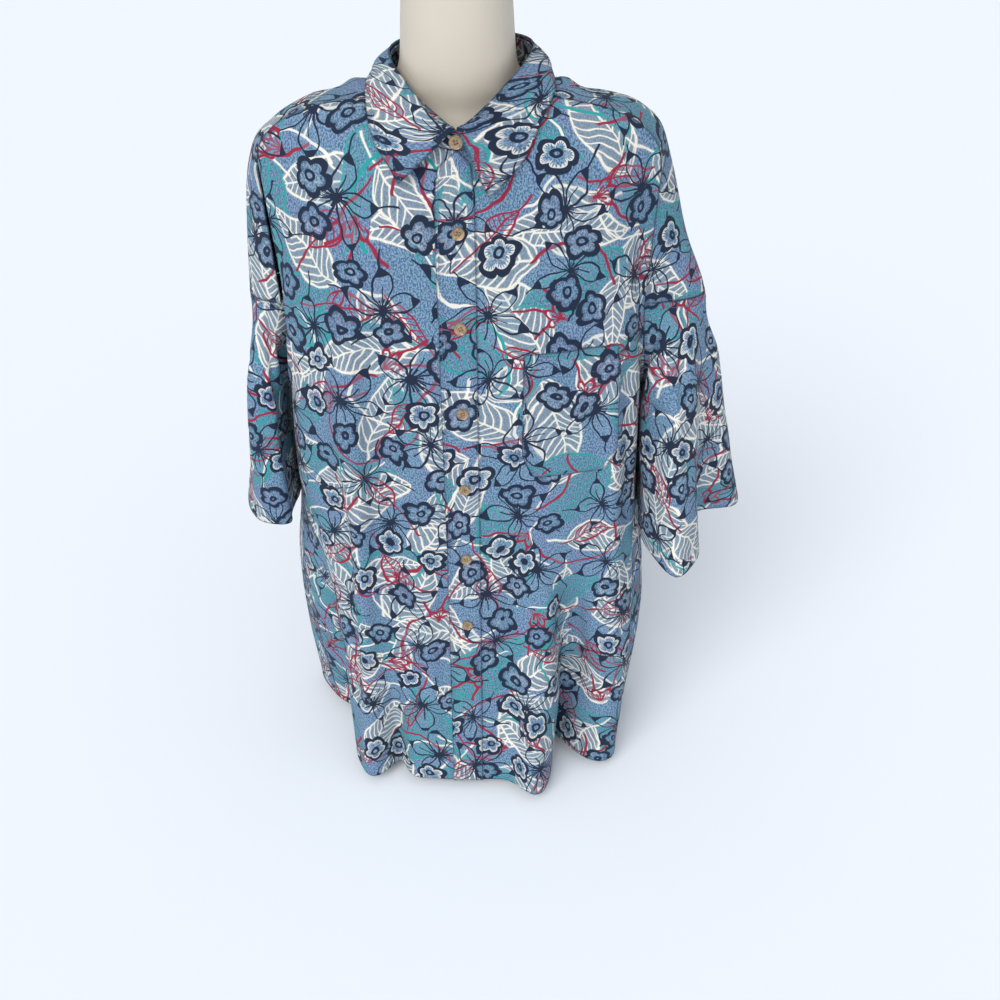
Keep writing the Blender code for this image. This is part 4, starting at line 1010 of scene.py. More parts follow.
def distance_from_border(flat):
    """How far each point of the flat cloth is from the nearest cut edge."""
    border = np.array([flat[cell] for cell in border_cells(*flat.shape[:2])])
    ahead = np.roll(border, -1, axis=0)
    parts = np.arange(BORDER_PARTS) / BORDER_PARTS
    points = np.concatenate([border + part * (ahead - border) for part in parts])
    tree = KDTree(len(points))
    for index, (u, v) in enumerate(points):
        tree.insert((u, v, 0.0), index)
    tree.balance()
    return np.array([tree.find((u, v, 0.0))[2] for u, v in flat.reshape(-1, 2)])


def crumple(sheet, seed):
    """Shallow uneven waves of cloth that has hung, from -1 to 1."""
    waves = np.zeros(sheet.shape[:2])
    for row, column in np.ndindex(*sheet.shape[:2]):
        x, y, z = sheet[row, column]
        place = Vector(((x + y) * CRUMPLE_SCALE[0], (x - y) * CRUMPLE_SCALE[0], z * CRUMPLE_SCALE[1] + seed))
        waves[row, column] = noise.noise(place) + CRUMPLE_FINER_SHARE * noise.noise(CRUMPLE_FINER * place)
    return waves


def edge_distance(sheet, name):
    """Distance of each point from the nearest sewn edge of its piece, measured along rows and columns."""
    across, up = distances(sheet, 1), distances(sheet, 0)
    nearest = np.minimum(across, across[:, -1:] - across)
    nearest = np.minimum(nearest, up[-1:] - up)
    return np.minimum(nearest, up) if name == "yoke" else nearest


def creased(name, sheet, share):
    """A sheet with its creases pressed in, fading out towards the seams."""
    rows, columns = sheet.shape[:2]
    across = sheet[..., 0]
    if name.startswith("sleeve"):
        across = np.broadcast_to(np.linspace(0.0, 1.0, columns), (rows, columns))
    push = CRUMPLE_DEPTH * crumple(sheet, CRUMPLE_STEP * BODY_PIECES.index(name))
    for crease in map(Crease._make, CREASES.get(name, ())):
        t = np.clip((sheet[..., 2] - crease.height) / (crease.to_height - crease.height), 0.0, 1.0)
        line = crease.across + t * (crease.to_across - crease.across) + crease.bow * 4.0 * t * (1.0 - t)
        taper = smooth_step(CREASE_TAPER * t) * smooth_step(CREASE_TAPER * (1.0 - t))
        push += crease.depth * taper * np.exp(-(((across - line) / crease.half_width) ** 2))
    push *= smooth_step(edge_distance(sheet, name) / SEAM_FADE)
    return sheet + share * push[..., None] * sheet_normals(sheet)


def softened(sewn, centre):
    """Pieces smoothed together round one place, with their seams kept shut."""
    places, index, cells = [], {}, {}
    for name, sheet in sewn.items():
        near = np.linalg.norm(sheet - centre, axis=2) < SOFT_MARGIN * SOFT_RADIUS
        for row, column in zip(*np.nonzero(near)):
            key = tuple(np.round(sheet[row, column], SAME_DIGITS))
            if key not in index:
                index[key] = len(places)
                places.append(sheet[row, column])
            cells[name, row, column] = index[key]
    neighbours = [set() for _ in places]
    for (name, row, column), one in cells.items():
        for ahead in ((name, row, column + 1), (name, row + 1, column)):
            if ahead in cells:
                neighbours[one].add(cells[ahead])
                neighbours[cells[ahead]].add(one)
    moved = np.array(places)
    weight = SOFT_SHARE * smooth_step(1.0 - np.linalg.norm(moved - centre, axis=1) / SOFT_RADIUS)
    for _ in range(SOFT_ROUNDS):
        means = np.array([moved[list(near)].mean(axis=0) for near in neighbours])
        moved += weight[:, None] * (means - moved)
    smooth = {name: sheet.copy() for name, sheet in sewn.items()}
    for (name, row, column), one in cells.items():
        smooth[name][row, column] = moved[one]
    return smooth


def finer_edge(sheet):
    """A sheet with more columns beside its first one, where it folds sharply."""
    places = np.concatenate([FINE_COLUMNS, np.arange(math.ceil(FINE_COLUMNS[-1]), sheet.shape[1])])
    return np.array([between(row, places) for row in sheet])


def folded_in(sheet, normals, lap):
    """A sheet pushed sharply in along its first column, its own fold lapping over the seam."""
    beside = distances(sheet, 1)
    height = sheet[:, :1, 2]
    fade = smooth_step((height - FOLD_IN_LOW) / FOLD_IN_FADE)
    fade = fade * smooth_step((FOLD_IN_HIGH - height) / FOLD_IN_FADE)
    depth = FOLD_IN_DEPTH * fade * np.exp(-((beside / FOLD_IN_WIDTH) ** 2))
    aim = FOLD_IN_AIM * DETAIL
    towards = sheet[:, :1] - sheet[:, aim : aim + 1]
    towards /= np.linalg.norm(towards, axis=2, keepdims=True)
    over = lap * fade * np.exp(-((beside / FOLD_IN_WIDTH - FOLD_IN_LAP_PLACE) ** 2))
    over *= np.minimum(beside / FOLD_IN_LAP_START, 1.0)
    return sheet - depth[..., None] * normals + over[..., None] * towards


# What has been worked out once: sheets with their normals, flat shapes with their prints, and materials
SHEETS = {}
LAID = {}
MADE = {}


def shirt_sheets(share):
    """All sheets of the shirt with their normals, worked out once."""
    if SHEETS:
        return SHEETS
    plain = {
        "front_left": front_sheet(+1),
        "front_right": front_sheet(-1)[:, ::-1],
        "back": back_sheet()[:, ::-1],
        "yoke": yoke_sheet(),
        "sleeve_left": sleeve_sheet(+1),
        "sleeve_right": sleeve_sheet(-1)[:, ::-1],
    }
    for place in SOFT_PLACES:
        plain = softened(plain, place)
    sewn = {name: creased(name, sheet, share) for name, sheet in plain.items()}
    sewn["front_right"] = finer_edge(sewn["front_right"])
    sewn["sleeve_right"] = finer_edge(sewn["sleeve_right"][:, ::-1])[:, ::-1]
    normals = seam_normals(sewn)
    sewn["front_right"] = folded_in(sewn["front_right"], normals["front_right"], FOLD_IN_LAP)
    folded = folded_in(sewn["sleeve_right"][:, ::-1], normals["sleeve_right"][:, ::-1], 0.0)
    sewn["sleeve_right"] = folded[:, ::-1]
    normals = seam_normals(sewn)
    SHEETS.update((name, (sheet, normals[name])) for name, sheet in sewn.items())
    below_leaf = [sewn["front_left"], sewn["front_right"], sewn["yoke"]]
    laid = {
        "placket": placket_sheet(sewn["front_left"], sewn["front_right"][:, ::-1]),
        "pocket": pocket_sheet(sewn["front_left"]),
        "collar_stand": joined_halves(stand_half)[:, ::-1],
        "collar_leaf": lifted_off(joined_halves(leaf_half), below_leaf, COLLAR_CLEARANCE),
    }
    SHEETS.update((name, (sheet, sheet_normals(sheet))) for name, sheet in laid.items())
    return SHEETS


def sew_together(name, vertices, faces, metres, materials, inner_faces):
    """New cloth object with its UV map, its inner faces in the cloth's wrong side."""
    mesh = new_mesh(name, vertices, faces)
    layer = mesh.uv_layers.new(name="cloth")
    layer.data.foreach_set("uv", metres[corner_vertices(mesh)].astype(np.float32).ravel())
    for material in materials:
        mesh.materials.append(material)
    kinds = np.zeros(len(mesh.polygons), int)
    kinds[inner_faces] = 1
    mesh.polygons.foreach_set("material_index", kinds)
    return new_object(name, mesh)


def only(thing):
    """Make one object the only selected and the active one."""
    bpy.ops.object.select_all(action="DESELECT")
    thing.select_set(True)
    bpy.context.view_layer.objects.active = thing
    return thing


def cut_from_print(metres, lay):
    """Metres on the printed cloth that a piece was cut from."""
    turn = math.radians(lay.turn)
    u = metres[..., 0] * math.cos(turn) - metres[..., 1] * math.sin(turn) + lay.u
    v = metres[..., 0] * math.sin(turn) + metres[..., 1] * math.cos(turn) + lay.v
    return np.stack([u, v], axis=-1)


def laid_on_print(name, share):
    """A piece's flat shape and its place on the printed cloth. The placket goes on from the left front."""
    if name in LAID:
        return LAID[name]
    sheet = shirt_sheets(share)[name][0]
    flat = flattened(sheet, name)
    printed = cut_from_print(flat, LAYS[name])
    if name == "placket":
        front = shirt_sheets(share)["front_left"][0][:, 0]
        front_print = laid_on_print("front_left", share)[1][:, 0]
        chord = front_print[-1] - front_print[0]
        across = np.array([chord[1], -chord[0]]) / np.linalg.norm(chord)
        middle = sheet[:, sheet.shape[1] // 2]
        off_front = middle[:, 0] - np.interp(middle[:, 2], front[:, 2], front[:, 0])
        edge = interpolated(middle[:, 2], front[:, 2], front_print)
        printed = edge[:, None] + (flat[..., :1] + off_front[:, None, None]) * across
    LAID[name] = (flat, printed)
    return LAID[name]


# How each piece is sewn: what it rests on, its rows that are turned in, and whether it is lined
Sewing = namedtuple("Sewing", "rests_on turned_in lined")
SEWING = {
    "front_left": Sewing(["dress_form"], (0, 1), False),
    "front_right": Sewing(["dress_form"], (0, 1), False),
    "placket": Sewing(["front_left_cloth", "front_right_cloth"], (0,), False),
    "pocket": Sewing(["front_left_cloth"], (-1,), False),
    "back": Sewing(["dress_form"], (0, 1), False),
    "yoke": Sewing(["dress_form"], (), True),
    "sleeve_left": Sewing(["yoke_cloth"], (0, 1), False),
    "sleeve_right": Sewing(["yoke_cloth"], (0, 1), False),
    "collar_stand": Sewing(["yoke_cloth"], (), True),
    "collar_leaf": Sewing(["collar_stand_cloth"], (), True),
}

# What a turned-in row adds inside and outside, in thicknesses, and the angle from which an edge stays sharp
TURNED_IN_INSIDE = 2.0
TURNED_IN_OUTSIDE = 0.5
CLOTH_EDGE_ANGLE = math.radians(50.0)


def add_sheet(name, settings):
    """One piece of cloth: its sheet as a closed thin wall, thicker where an edge is turned in."""
    sewing = SEWING[name]
    sheet, normals = shirt_sheets(settings.crease_depth)[name]
    rows, columns = sheet.shape[:2]
    flat, printed = laid_on_print(name, settings.crease_depth)
    half = np.full((rows, columns, 1), LAYERS.get(name, 1.0) * settings.thickness / 2.0)
    inside = half.copy()
    for row in sewing.turned_in:
        inside[row] += TURNED_IN_INSIDE * settings.thickness
        half[row] += TURNED_IN_OUTSIDE * settings.thickness
    sides = (sheet + normals * half, sheet - normals * inside)
    vertices = np.concatenate([points.reshape(-1, 3) for points in sides])
    count = rows * columns
    quads = grid_quads(rows, columns)
    border = np.array([row * columns + column for row, column in border_cells(rows, columns)])
    ahead = np.roll(border, -1)
    rim = np.stack([border, count + border, count + ahead, ahead], axis=1)
    faces = np.concatenate([quads, count + quads[:, ::-1], rim]).tolist()
    metres = np.tile(printed.reshape(-1, 2), (2, 1))
    inner = np.arange(0) if sewing.lined else np.arange(len(quads), 2 * len(quads))
    thing = sew_together(name + "_cloth", vertices, faces, metres, cotton_materials(settings), inner)
    from_edge = thing.data.attributes.new("from_edge", "FLOAT", "POINT")
    from_edge.data.foreach_set("value", np.tile(distance_from_border(flat), 2).astype(np.float32))
    bpy.ops.object.shade_smooth_by_angle(angle=CLOTH_EDGE_ANGLE)
    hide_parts(name)
    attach(thing, "root")


def sew(context, *names):
    """Add the named pieces and finish the operator."""
    for name in names:
        add_sheet(name, context.scene.shirt.cloth)
    return {"FINISHED"}


# ---------------------------------------------------------------- node wiring

# Softness of a printed line's edge, in metres
LINE_SOFT = 0.00045


class Wiring:
    """Adds nodes to one tree and links each input as it is given: a socket, a number or a colour."""

    def __init__(self, tree):
        self.tree = tree

    def node(self, kind, inputs=None, **settings):
        made = self.tree.nodes.new(kind)
        for name, value in settings.items():
            setattr(made, name, value)
        for slot, value in (inputs or {}).items():
            self.feed(made.inputs[slot], value)
        return made

    def feed(self, slot, value):
        if isinstance(value, bpy.types.NodeSocket):
            self.tree.links.new(value, slot)
        else:
            slot.default_value = value

    def group(self, tree, inputs):
        return self.node("ShaderNodeGroup", inputs, node_tree=tree).outputs

    def math(self, operation, *values, clamp=False):
        made = self.node("ShaderNodeMath", operation=operation, use_clamp=clamp)
        for slot, value in zip(made.inputs, values):
            self.feed(slot, value)
        return made.outputs[0]

    def times(self, *values):
        return reduce(lambda total, value: self.math("MULTIPLY", total, value), values)

    def most(self, *values):
        return reduce(lambda total, value: self.math("MAXIMUM", total, value), values)

    def minus(self, first, second):
        return self.math("SUBTRACT", first, second)

    def scaled(self, value, factor, added, clamp=False):
        return self.math("MULTIPLY_ADD", value, factor, added, clamp=clamp)

    def below(self, value, limit):
        return self.math("LESS_THAN", value, limit)

    def above(self, value, limit):
        return self.math("GREATER_THAN", value, limit)

    def vector(self, operation, *vectors):
        return self.node("ShaderNodeVectorMath", dict(enumerate(vectors)), operation=operation).outputs[0]

    def length(self, vector):
        return self.node("ShaderNodeVectorMath", {0: vector}, operation="LENGTH").outputs["Value"]

    def apart(self, vector):
        return self.node("ShaderNodeSeparateXYZ", {0: vector}).outputs

    def mix(self, factor, first, second):
        return self.node("ShaderNodeMix", {0: factor, 6: first, 7: second}, data_type="RGBA").outputs[2]

    def noise(self, vector, scale, detail, distortion=0.0, dimensions="2D"):
        inputs = {"Vector": vector, "Scale": scale, "Detail": detail, "Distortion": distortion}
        return self.node("ShaderNodeTexNoise", inputs, noise_dimensions=dimensions).outputs

    def bump(self, height, strength, distance, **more):
        inputs = {"Height": height, "Strength": strength, "Distance": distance, **more}
        return self.node("ShaderNodeBump", inputs).outputs[0]

    def inside(self, distance, soft=LINE_SOFT):
        """1 inside a shape and 0 outside, from the distance in from its edge."""
        return self.scaled(distance, 1.0 / soft, 0.5, clamp=True)

    def line(self, distance, half_width, soft=LINE_SOFT):
        """1 on a line and 0 beside it, from the distance to its middle."""
        return self.inside(self.minus(half_width, self.math("ABSOLUTE", distance)), soft)

    def bulge(self, share, power):
        """Outline of a leaf or petal: 0 at its ends, where the share is -1 and 1, and 1 in the middle."""
        rest = self.minus(1.0, self.times(share, share))
        return self.math("POWER", self.most(rest, 0.0), power)

    def shaken(self, place, cloth, scale, reach):
        """A place moved about by noise read on the cloth."""
        centred = self.vector("SUBTRACT", self.noise(cloth, scale, 0.0)["Color"], (0.5, 0.5, 0.5))
        return self.vector("ADD", place, self.vector("MULTIPLY", centred, (reach, reach, reach)))


# Kinds of the groups' sockets that aren't plain numbers
SOCKET_KINDS = {
    "Place": "NodeSocketVector",
    "Shift": "NodeSocketVector",
    "Cloth": "NodeSocketVector",
    "Colour": "NodeSocketColor",
}


def new_group(name, inputs, outputs):
    """Empty shader group with named inputs and outputs, and its wiring and end sockets."""
    tree = bpy.data.node_groups.new(name, "ShaderNodeTree")
    for labels, way in ((inputs, "INPUT"), (outputs, "OUTPUT")):
        for label in labels:
            kind = SOCKET_KINDS.get(label, "NodeSocketFloat")
            tree.interface.new_socket(label, in_out=way, socket_type=kind)
    wiring = Wiring(tree)
    return tree, wiring, wiring.node("NodeGroupInput").outputs, wiring.node("NodeGroupOutput").inputs


def leaf_group():
    """Veined leaf along X, by metres from its middle: its lines, the leaf in them and a glow beside them."""
    bluntness, widest, taper = 0.72, 0.95, -0.28
    vein_slope, vein_bow = -0.70, -12.0
    midrib_share, vein_share = 0.8, 0.72
    vein_glow, vein_glow_soft = 1.2, 0.0012
    rim_glow, rim_glow_soft = 1.7, 0.0016
    tree, w, given, result = new_group(
        "veined_leaf", ("Place", "Half Length", "Half Width", "Vein Gap", "Line"), ("Lines", "Leaf", "Halo")
    )
    line, vein_gap = given["Line"], given["Vein Gap"]
    apart = w.apart(given["Place"])
    x, beside = apart[0], w.math("ABSOLUTE", apart[1])
    share = w.math("DIVIDE", x, given["Half Length"])
    fuller = w.times(w.bulge(share, bluntness), w.scaled(share, taper, widest))
    edge = w.scaled(fuller, given["Half Width"], w.times(beside, -1.0))
    leaf = w.inside(edge)
    midrib = w.line(beside, w.times(line, midrib_share))
    bowed = w.times(beside, beside, vein_bow)
    slant = w.math("DIVIDE", w.math("ADD", w.scaled(beside, vein_slope, x), bowed), vein_gap)
    off_vein = w.times(w.minus(w.math("FRACT", slant), 0.5), vein_gap)
    veins = w.line(off_vein, w.times(line, vein_share))
    w.feed(result["Lines"], w.most(w.line(edge, line), w.times(w.most(midrib, veins), leaf)))
    w.feed(result["Leaf"], leaf)
    near_vein = w.times(w.line(off_vein, w.times(line, vein_glow), vein_glow_soft), leaf)
    w.feed(result["Halo"], w.most(w.line(edge, w.times(line, rim_glow), rim_glow_soft), near_vein))
    return tree


def blossom_group():
    """Five-lobed blossom round the origin: its thick outline and ring, and the fringe inside them."""
    half_lobes, lobe_bluntness, lobe_depth, lobe_base, lopsidedness = 2.5, 0.8, 0.26, 0.72, 0.07
    rim_share, band_share, ring_place, ring_share = 0.86, 0.128, 0.22, 0.072
    strokes_round, stroke_depth, stroke_base = 34.0, 0.07, -0.19
    fringe_start, fringe_soft = 0.0006, 0.0008
    tree, w, given, result = new_group("blossom", ("Place", "Radius"), ("Lines", "Fringe", "Inside"))
    radius = given["Radius"]
    apart = w.apart(given["Place"])
    reach = w.length(given["Place"])
    angle = w.math("ARCTAN2", apart[1], apart[0])
    lobes = w.math("ABSOLUTE", w.math("COSINE", w.times(angle, half_lobes)))
    lobes = w.scaled(w.math("POWER", lobes, lobe_bluntness), lobe_depth, lobe_base)
    rim = w.times(w.scaled(w.math("SINE", angle), lopsidedness, lobes), radius, rim_share)
    off_rim = w.minus(reach, rim)
    off_ring = w.minus(reach, w.times(radius, ring_place))
    band = w.line(off_rim, w.times(radius, band_share))
    w.feed(result["Lines"], w.most(band, w.line(off_ring, w.times(radius, ring_share))))
    strokes = w.scaled(w.math("SINE", w.times(angle, strokes_round)), stroke_depth, stroke_base)
    in_from_rim = w.times(off_rim, -1.0)
    inside = w.above(in_from_rim, 0.0)
    depth = w.scaled(radius, strokes, in_from_rim)
    beyond = w.inside(w.minus(depth, fringe_start), fringe_soft)
    w.feed(result["Fringe"], w.times(inside, w.minus(1.0, beyond)))
    w.feed(result["Inside"], inside)
    return tree


def lily_group():
    """Long petals with thin lines round the origin, all round or over some of the way: lines and petals."""
    sharpness, taper = 1.15, 0.22
    rib_share, rib_end, tip_start = 0.7, 0.55, 0.80
    strokes_round, stroke_gap, stroke_reach = 14.0, 0.35, 2.0
    tree, w, given, result = new_group(
        "lily", ("Place", "Radius", "Petals", "Half Width", "Line", "Spread", "Heart"), ("Lines", "Petals")
    )
    radius, line = given["Radius"], given["Line"]
    apart = w.apart(given["Place"])
    reach = w.length(given["Place"])
    angle = w.math("ARCTAN2", apart[1], apart[0])
    turned = w.math("PINGPONG", angle, w.math("DIVIDE", math.pi, given["Petals"]))
    near_petal = w.below(w.math("ABSOLUTE", angle), given["Spread"])
    along_petal = w.math("DIVIDE", w.times(reach, w.math("COSINE", turned)), radius)
    beside = w.times(reach, w.math("SINE", turned))
    share = w.scaled(along_petal, 2.0, -1.0)
    fuller = w.times(w.bulge(share, sharpness), w.scaled(share, taper, 1.0))
    edge = w.minus(w.times(fuller, w.times(radius, given["Half Width"])), beside)
    petals = w.times(w.inside(edge), near_petal)
    outline = w.times(w.line(edge, line), near_petal)
    rib = w.times(w.line(beside, w.times(line, rib_share)), petals, w.below(along_petal, rib_end))
    tip = w.times(petals, w.above(along_petal, tip_start))
    heart = w.inside(w.scaled(radius, given["Heart"], w.times(reach, -1.0)))
    strokes = w.above(w.math("COSINE", w.times(angle, strokes_round)), stroke_gap)
    near = w.below(reach, w.times(radius, given["Heart"], stroke_reach))
    w.feed(result["Lines"], w.most(outline, rib, tip, heart, w.times(strokes, near)))
    w.feed(result["Petals"], petals)
    return tree


def scatter_group():
    """Turned copies of one motif over the cloth: the place in the nearest copy, and its own numbers."""
    tree, w, given, result = new_group(
        "scattered_motifs", ("Place", "Gap", "Unevenness", "Shift", "Turn"), ("Place", "Pick", "Size")
    )

    def turned(vector, angle):
        inputs = {"Vector": vector, "Angle": angle}
        return w.node("ShaderNodeVectorRotate", inputs, rotation_type="Z_AXIS").outputs[0]

    lattice = turned(w.vector("ADD", given["Place"], given["Shift"]), given["Turn"])
    scale = w.math("DIVIDE", 1.0, given["Gap"])
    inputs = {"Vector": lattice, "Scale": scale, "Randomness": given["Unevenness"]}
    cells = w.node("ShaderNodeTexVoronoi", inputs, voronoi_dimensions="2D").outputs
    offset = w.vector("SUBTRACT", lattice, cells["Position"])
    own = w.node("ShaderNodeSeparateColor", {0: cells["Color"]}).outputs
    w.feed(result["Place"], turned(offset, w.times(own[0], math.tau)))
    w.feed(result["Pick"], own[1])
    w.feed(result["Size"], own[2])
    return tree


# How finely and how far the print's lines wander, first broadly and then shakily
WANDER = (30.0, 0.012)
SHAKE = (115.0, 0.0018)

# The heathered ground: scales of its noises, and the gain and offset of each mask made from them
SPECK_SCALE = 620.0
WARP_SCALE = 900.0
WARP_STRETCH = 0.45
CLOUD_SCALE = 26.0
GRAIN = (2.8, -2.3)
CLOUDY = (2.4, -0.9)
WORN = (3.0, -1.05)

# A motif over the cloth: the gap between its copies, how unevenly they stand, where their lattice starts, how
# far it is turned, and the share of the copies that is drawn
Motif = namedtuple("Motif", "gap unevenness u v turn drawn")
ARCS = Motif(0.115, 0.4, 0.081, 0.033, -1.2, 1.0)
STEMS = Motif(0.125, 0.3, 0.031, 0.022, 0.9, 1.0)
SMALL_LEAVES = Motif(0.088, 0.5, 0.071, 0.009, 0.2, 0.75)
SPRIGS = Motif(0.083, 0.4, 0.043, 0.012, 0.8, 0.5)
LILIES = Motif(0.078, 0.35, 0.019, 0.055, -0.25, 1.0)
BLOSSOMS = Motif(0.051, 0.6, 0.007, 0.063, 0.5, 0.72)

# Large leaves: motif, half length and half width, gap between veins, share of teal ones, half a line's width.
# Pairs are a gain and an offset on one of the copy's own numbers.
LargeLeaf = namedtuple("LargeLeaf", "motif half_length half_width vein_gap teal line")
LARGE_LEAVES = (
    LargeLeaf(Motif(0.090, 0.3, 0.013, 0.041, 0.35, 0.94), 0.056, 0.0270, 0.0082, 0.12, 0.00098),
    LargeLeaf(Motif(0.106, 0.3, 0.057, 0.083, -0.62, 0.94), 0.054, 0.0230, 0.0078, 0.85, 0.00068),
    LargeLeaf(Motif(0.104, 0.3, 0.021, 0.027, 1.10, 0.94), 0.044, 0.0215, 0.0076, 0.10, 0.00094),
)
LEAF_SIZE = (0.3, 0.75)
LEAF_LINE_GAIN = 0.0003
LEAF_FILL = 0.54
LEAF_FILL_GRAIN = -0.15
LEAF_FILL_TEAL = -0.22
LEAF_GLOW = 0.20
WORN_LINES = (0.25, 0.75)

# The smaller motifs: radii, half the lines' widths, the part of a ring that is drawn, and strengths
ARC_RADIUS = (0.012, 0.036)
ARC_LINE = 0.0011
ARC_PART = (0.05, -0.02)
ARC_STRENGTH = 0.9
STEM_RADIUS = 0.044
STEM_LINE = 0.0013
STEM_PART = (0.05, -0.030)
STEM_CRIMSON = 0.62
SMALL_LEAF = {"Half Length": 0.021, "Half Width": 0.0105, "Vein Gap": 0.0062, "Line": 0.0010}
SPRIG = {"Radius": 0.020, "Petals": 9.0, "Half Width": 0.20, "Line": 0.00135, "Spread": 1.05, "Heart": 0.10}
LILY = {"Petals": 5.0, "Half Width": 0.215, "Line": 0.00080, "Spread": 4.0, "Heart": 0.12}
LILY_RADIUS = (0.010, 0.032)
LILY_TINT = 0.18
BLOSSOM_RADIUS = (0.0035, 0.0156)
BLOSSOM_FILL = 0.8
FRINGED_SPREAD = 7.0
FRINGED_SHARE = 0.35
FRINGE_STRENGTH = (0.40, 0.36)


def print_group(colours):
    """The printed cotton's colour and its dark ink, by metres of cloth. Each motif lies over the last."""
    tree, w, given, result = new_group("leaf_and_blossom_print", ("Cloth",), ("Colour", "Ink"))
    scatter, leaf, blossom, lily = scatter_group(), leaf_group(), blossom_group(), lily_group()
    cloth = given["Cloth"]
    place = w.shaken(w.shaken(cloth, cloth, *WANDER), cloth, *SHAKE)

    def scattered(motif):
        """The place in the nearest copy, its numbers, and whether it is drawn."""
        cell = w.group(scatter, {"Place": place, "Gap": motif.gap, "Unevenness": motif.unevenness,
                                 "Shift": (motif.u, motif.v, 0.0), "Turn": motif.turn})
        return cell, w.below(cell["Pick"], motif.drawn) if motif.drawn < 1.0 else 1.0

    def arc(own_place, radius, half_width, start):
        """The part of a ring that lies beyond a line across it."""
        ring = w.line(w.minus(w.length(own_place), radius), half_width)
        return w.times(ring, w.above(w.apart(own_place)[0], start))

    # heathered ground
    speck = w.noise(cloth, SPECK_SCALE, 2.0)["Fac"]
    warp = w.noise(w.vector("MULTIPLY", cloth, (1.0, WARP_STRETCH, 1.0)), WARP_SCALE, 1.0)["Fac"]
    grain = w.scaled(w.math("ADD", speck, warp), *GRAIN, clamp=True)
    cloudy = w.scaled(w.noise(cloth, CLOUD_SCALE, 1.0)["Fac"], *CLOUDY, clamp=True)
    ground = w.mix(grain, colours["ground"], w.mix(cloudy, colours["ground_light"], colours["ground_violet"]))
    worn = w.scaled(speck, *WORN, clamp=True)
    colour = ground

    for kind in LARGE_LEAVES:
        cell, chosen = scattered(kind.motif)
        size = w.scaled(cell["Size"], *LEAF_SIZE)
        drawn = w.group(leaf, {
            "Place": cell["Place"],
            "Half Length": w.times(size, kind.half_length),
            "Half Width": w.times(size, kind.half_width),
            "Vein Gap": kind.vein_gap,
            "Line": w.scaled(cell["Size"], LEAF_LINE_GAIN, kind.line),
        })
        is_teal = w.below(cell["Pick"], kind.teal)
        tint = w.mix(is_teal, colours["leaf_shade"], colours["teal_shade"])
        fill = w.scaled(is_teal, LEAF_FILL_TEAL, w.scaled(grain, LEAF_FILL_GRAIN, LEAF_FILL))
        line_colour = w.mix(is_teal, colours["cream"], colours["teal"])
        colour = w.mix(w.times(drawn["Leaf"], chosen), colour, w.mix(fill, ground, tint))
        colour = w.mix(w.times(drawn["Halo"], chosen, LEAF_GLOW), colour, line_colour)
        lines = w.times(drawn["Lines"], chosen, w.scaled(worn, *WORN_LINES))
        colour = w.mix(lines, colour, line_colour)

    # large pale arcs
    cell, _ = scattered(ARCS)
    radius = w.scaled(cell["Size"], *ARC_RADIUS)
    lines = arc(cell["Place"], radius, ARC_LINE, w.scaled(cell["Pick"], *ARC_PART))
    colour = w.mix(w.times(lines, ARC_STRENGTH), colour, colours["cream"])

    # curved stems
    cell, _ = scattered(STEMS)
    lines = arc(cell["Place"], STEM_RADIUS, STEM_LINE, w.scaled(cell["Size"], *STEM_PART))
    stem_colour = w.mix(w.above(cell["Pick"], STEM_CRIMSON), colours["crimson"], colours["teal"])
    colour = w.mix(lines, colour, stem_colour)

    # small crimson leaves and sprigs
    cell, chosen = scattered(SMALL_LEAVES)
    drawn = w.group(leaf, {"Place": cell["Place"], **SMALL_LEAF})
    colour = w.mix(w.times(drawn["Lines"], chosen), colour, colours["crimson"])
    cell, chosen = scattered(SPRIGS)
    drawn = w.group(lily, {"Place": cell["Place"], **SPRIG})
    colour = w.mix(w.times(drawn["Lines"], chosen), colour, colours["crimson"])

    # lilies
    cell, _ = scattered(LILIES)
    radius = w.scaled(cell["Size"], *LILY_RADIUS)
    drawn = w.group(lily, {"Place": cell["Place"], "Radius": radius, **LILY})
    colour = w.mix(w.times(drawn["Petals"], LILY_TINT), colour, colours["ground_light"])
    colour = w.mix(drawn["Lines"], colour, colours["navy"])
    ink = drawn["Lines"]

    # blossoms, some of them fringed with cream
    cell, chosen = scattered(BLOSSOMS)
    drawn = w.group(blossom, {"Place": cell["Place"], "Radius": w.scaled(cell["Size"], *BLOSSOM_RADIUS)})
    colour = w.mix(w.times(drawn["Inside"], chosen, BLOSSOM_FILL), colour, ground)
    fringed = w.below(w.math("FRACT", w.times(cell["Pick"], FRINGED_SPREAD)), FRINGED_SHARE)
    strokes = w.times(drawn["Fringe"], chosen, w.scaled(fringed, *FRINGE_STRENGTH))
    colour = w.mix(strokes, colour, w.mix(fringed, colours["navy"], colours["cream"]))
    lines = w.times(drawn["Lines"], chosen)
    w.feed(result["Colour"], w.mix(lines, colour, colours["navy"]))
    w.feed(result["Ink"], w.most(ink, lines))
    return tree


# The weave: scale of the uneven threads, how much they and the crossing threads raise it, and their pitch
SLUB_SCALE = 260.0
SLUB_HEIGHT = 0.6
WEAVE_HEIGHT = (0.3, 0.5)
THREAD_PITCH = 0.0011


def weave_group():
    """Plain weave by metres of cloth: how high the thread on top stands."""
    tree, w, given, result = new_group("plain_weave", ("Cloth", "Threads"), ("Height",))
    across, up = (w.math("SINE", w.times(axis, given["Threads"])) for axis in w.apart(given["Cloth"])[:2])
    slub = w.noise(given["Cloth"], SLUB_SCALE, 2.0)["Fac"]
    w.feed(result["Height"], w.scaled(slub, SLUB_HEIGHT, w.scaled(w.times(across, up), *WEAVE_HEIGHT)))
    return tree


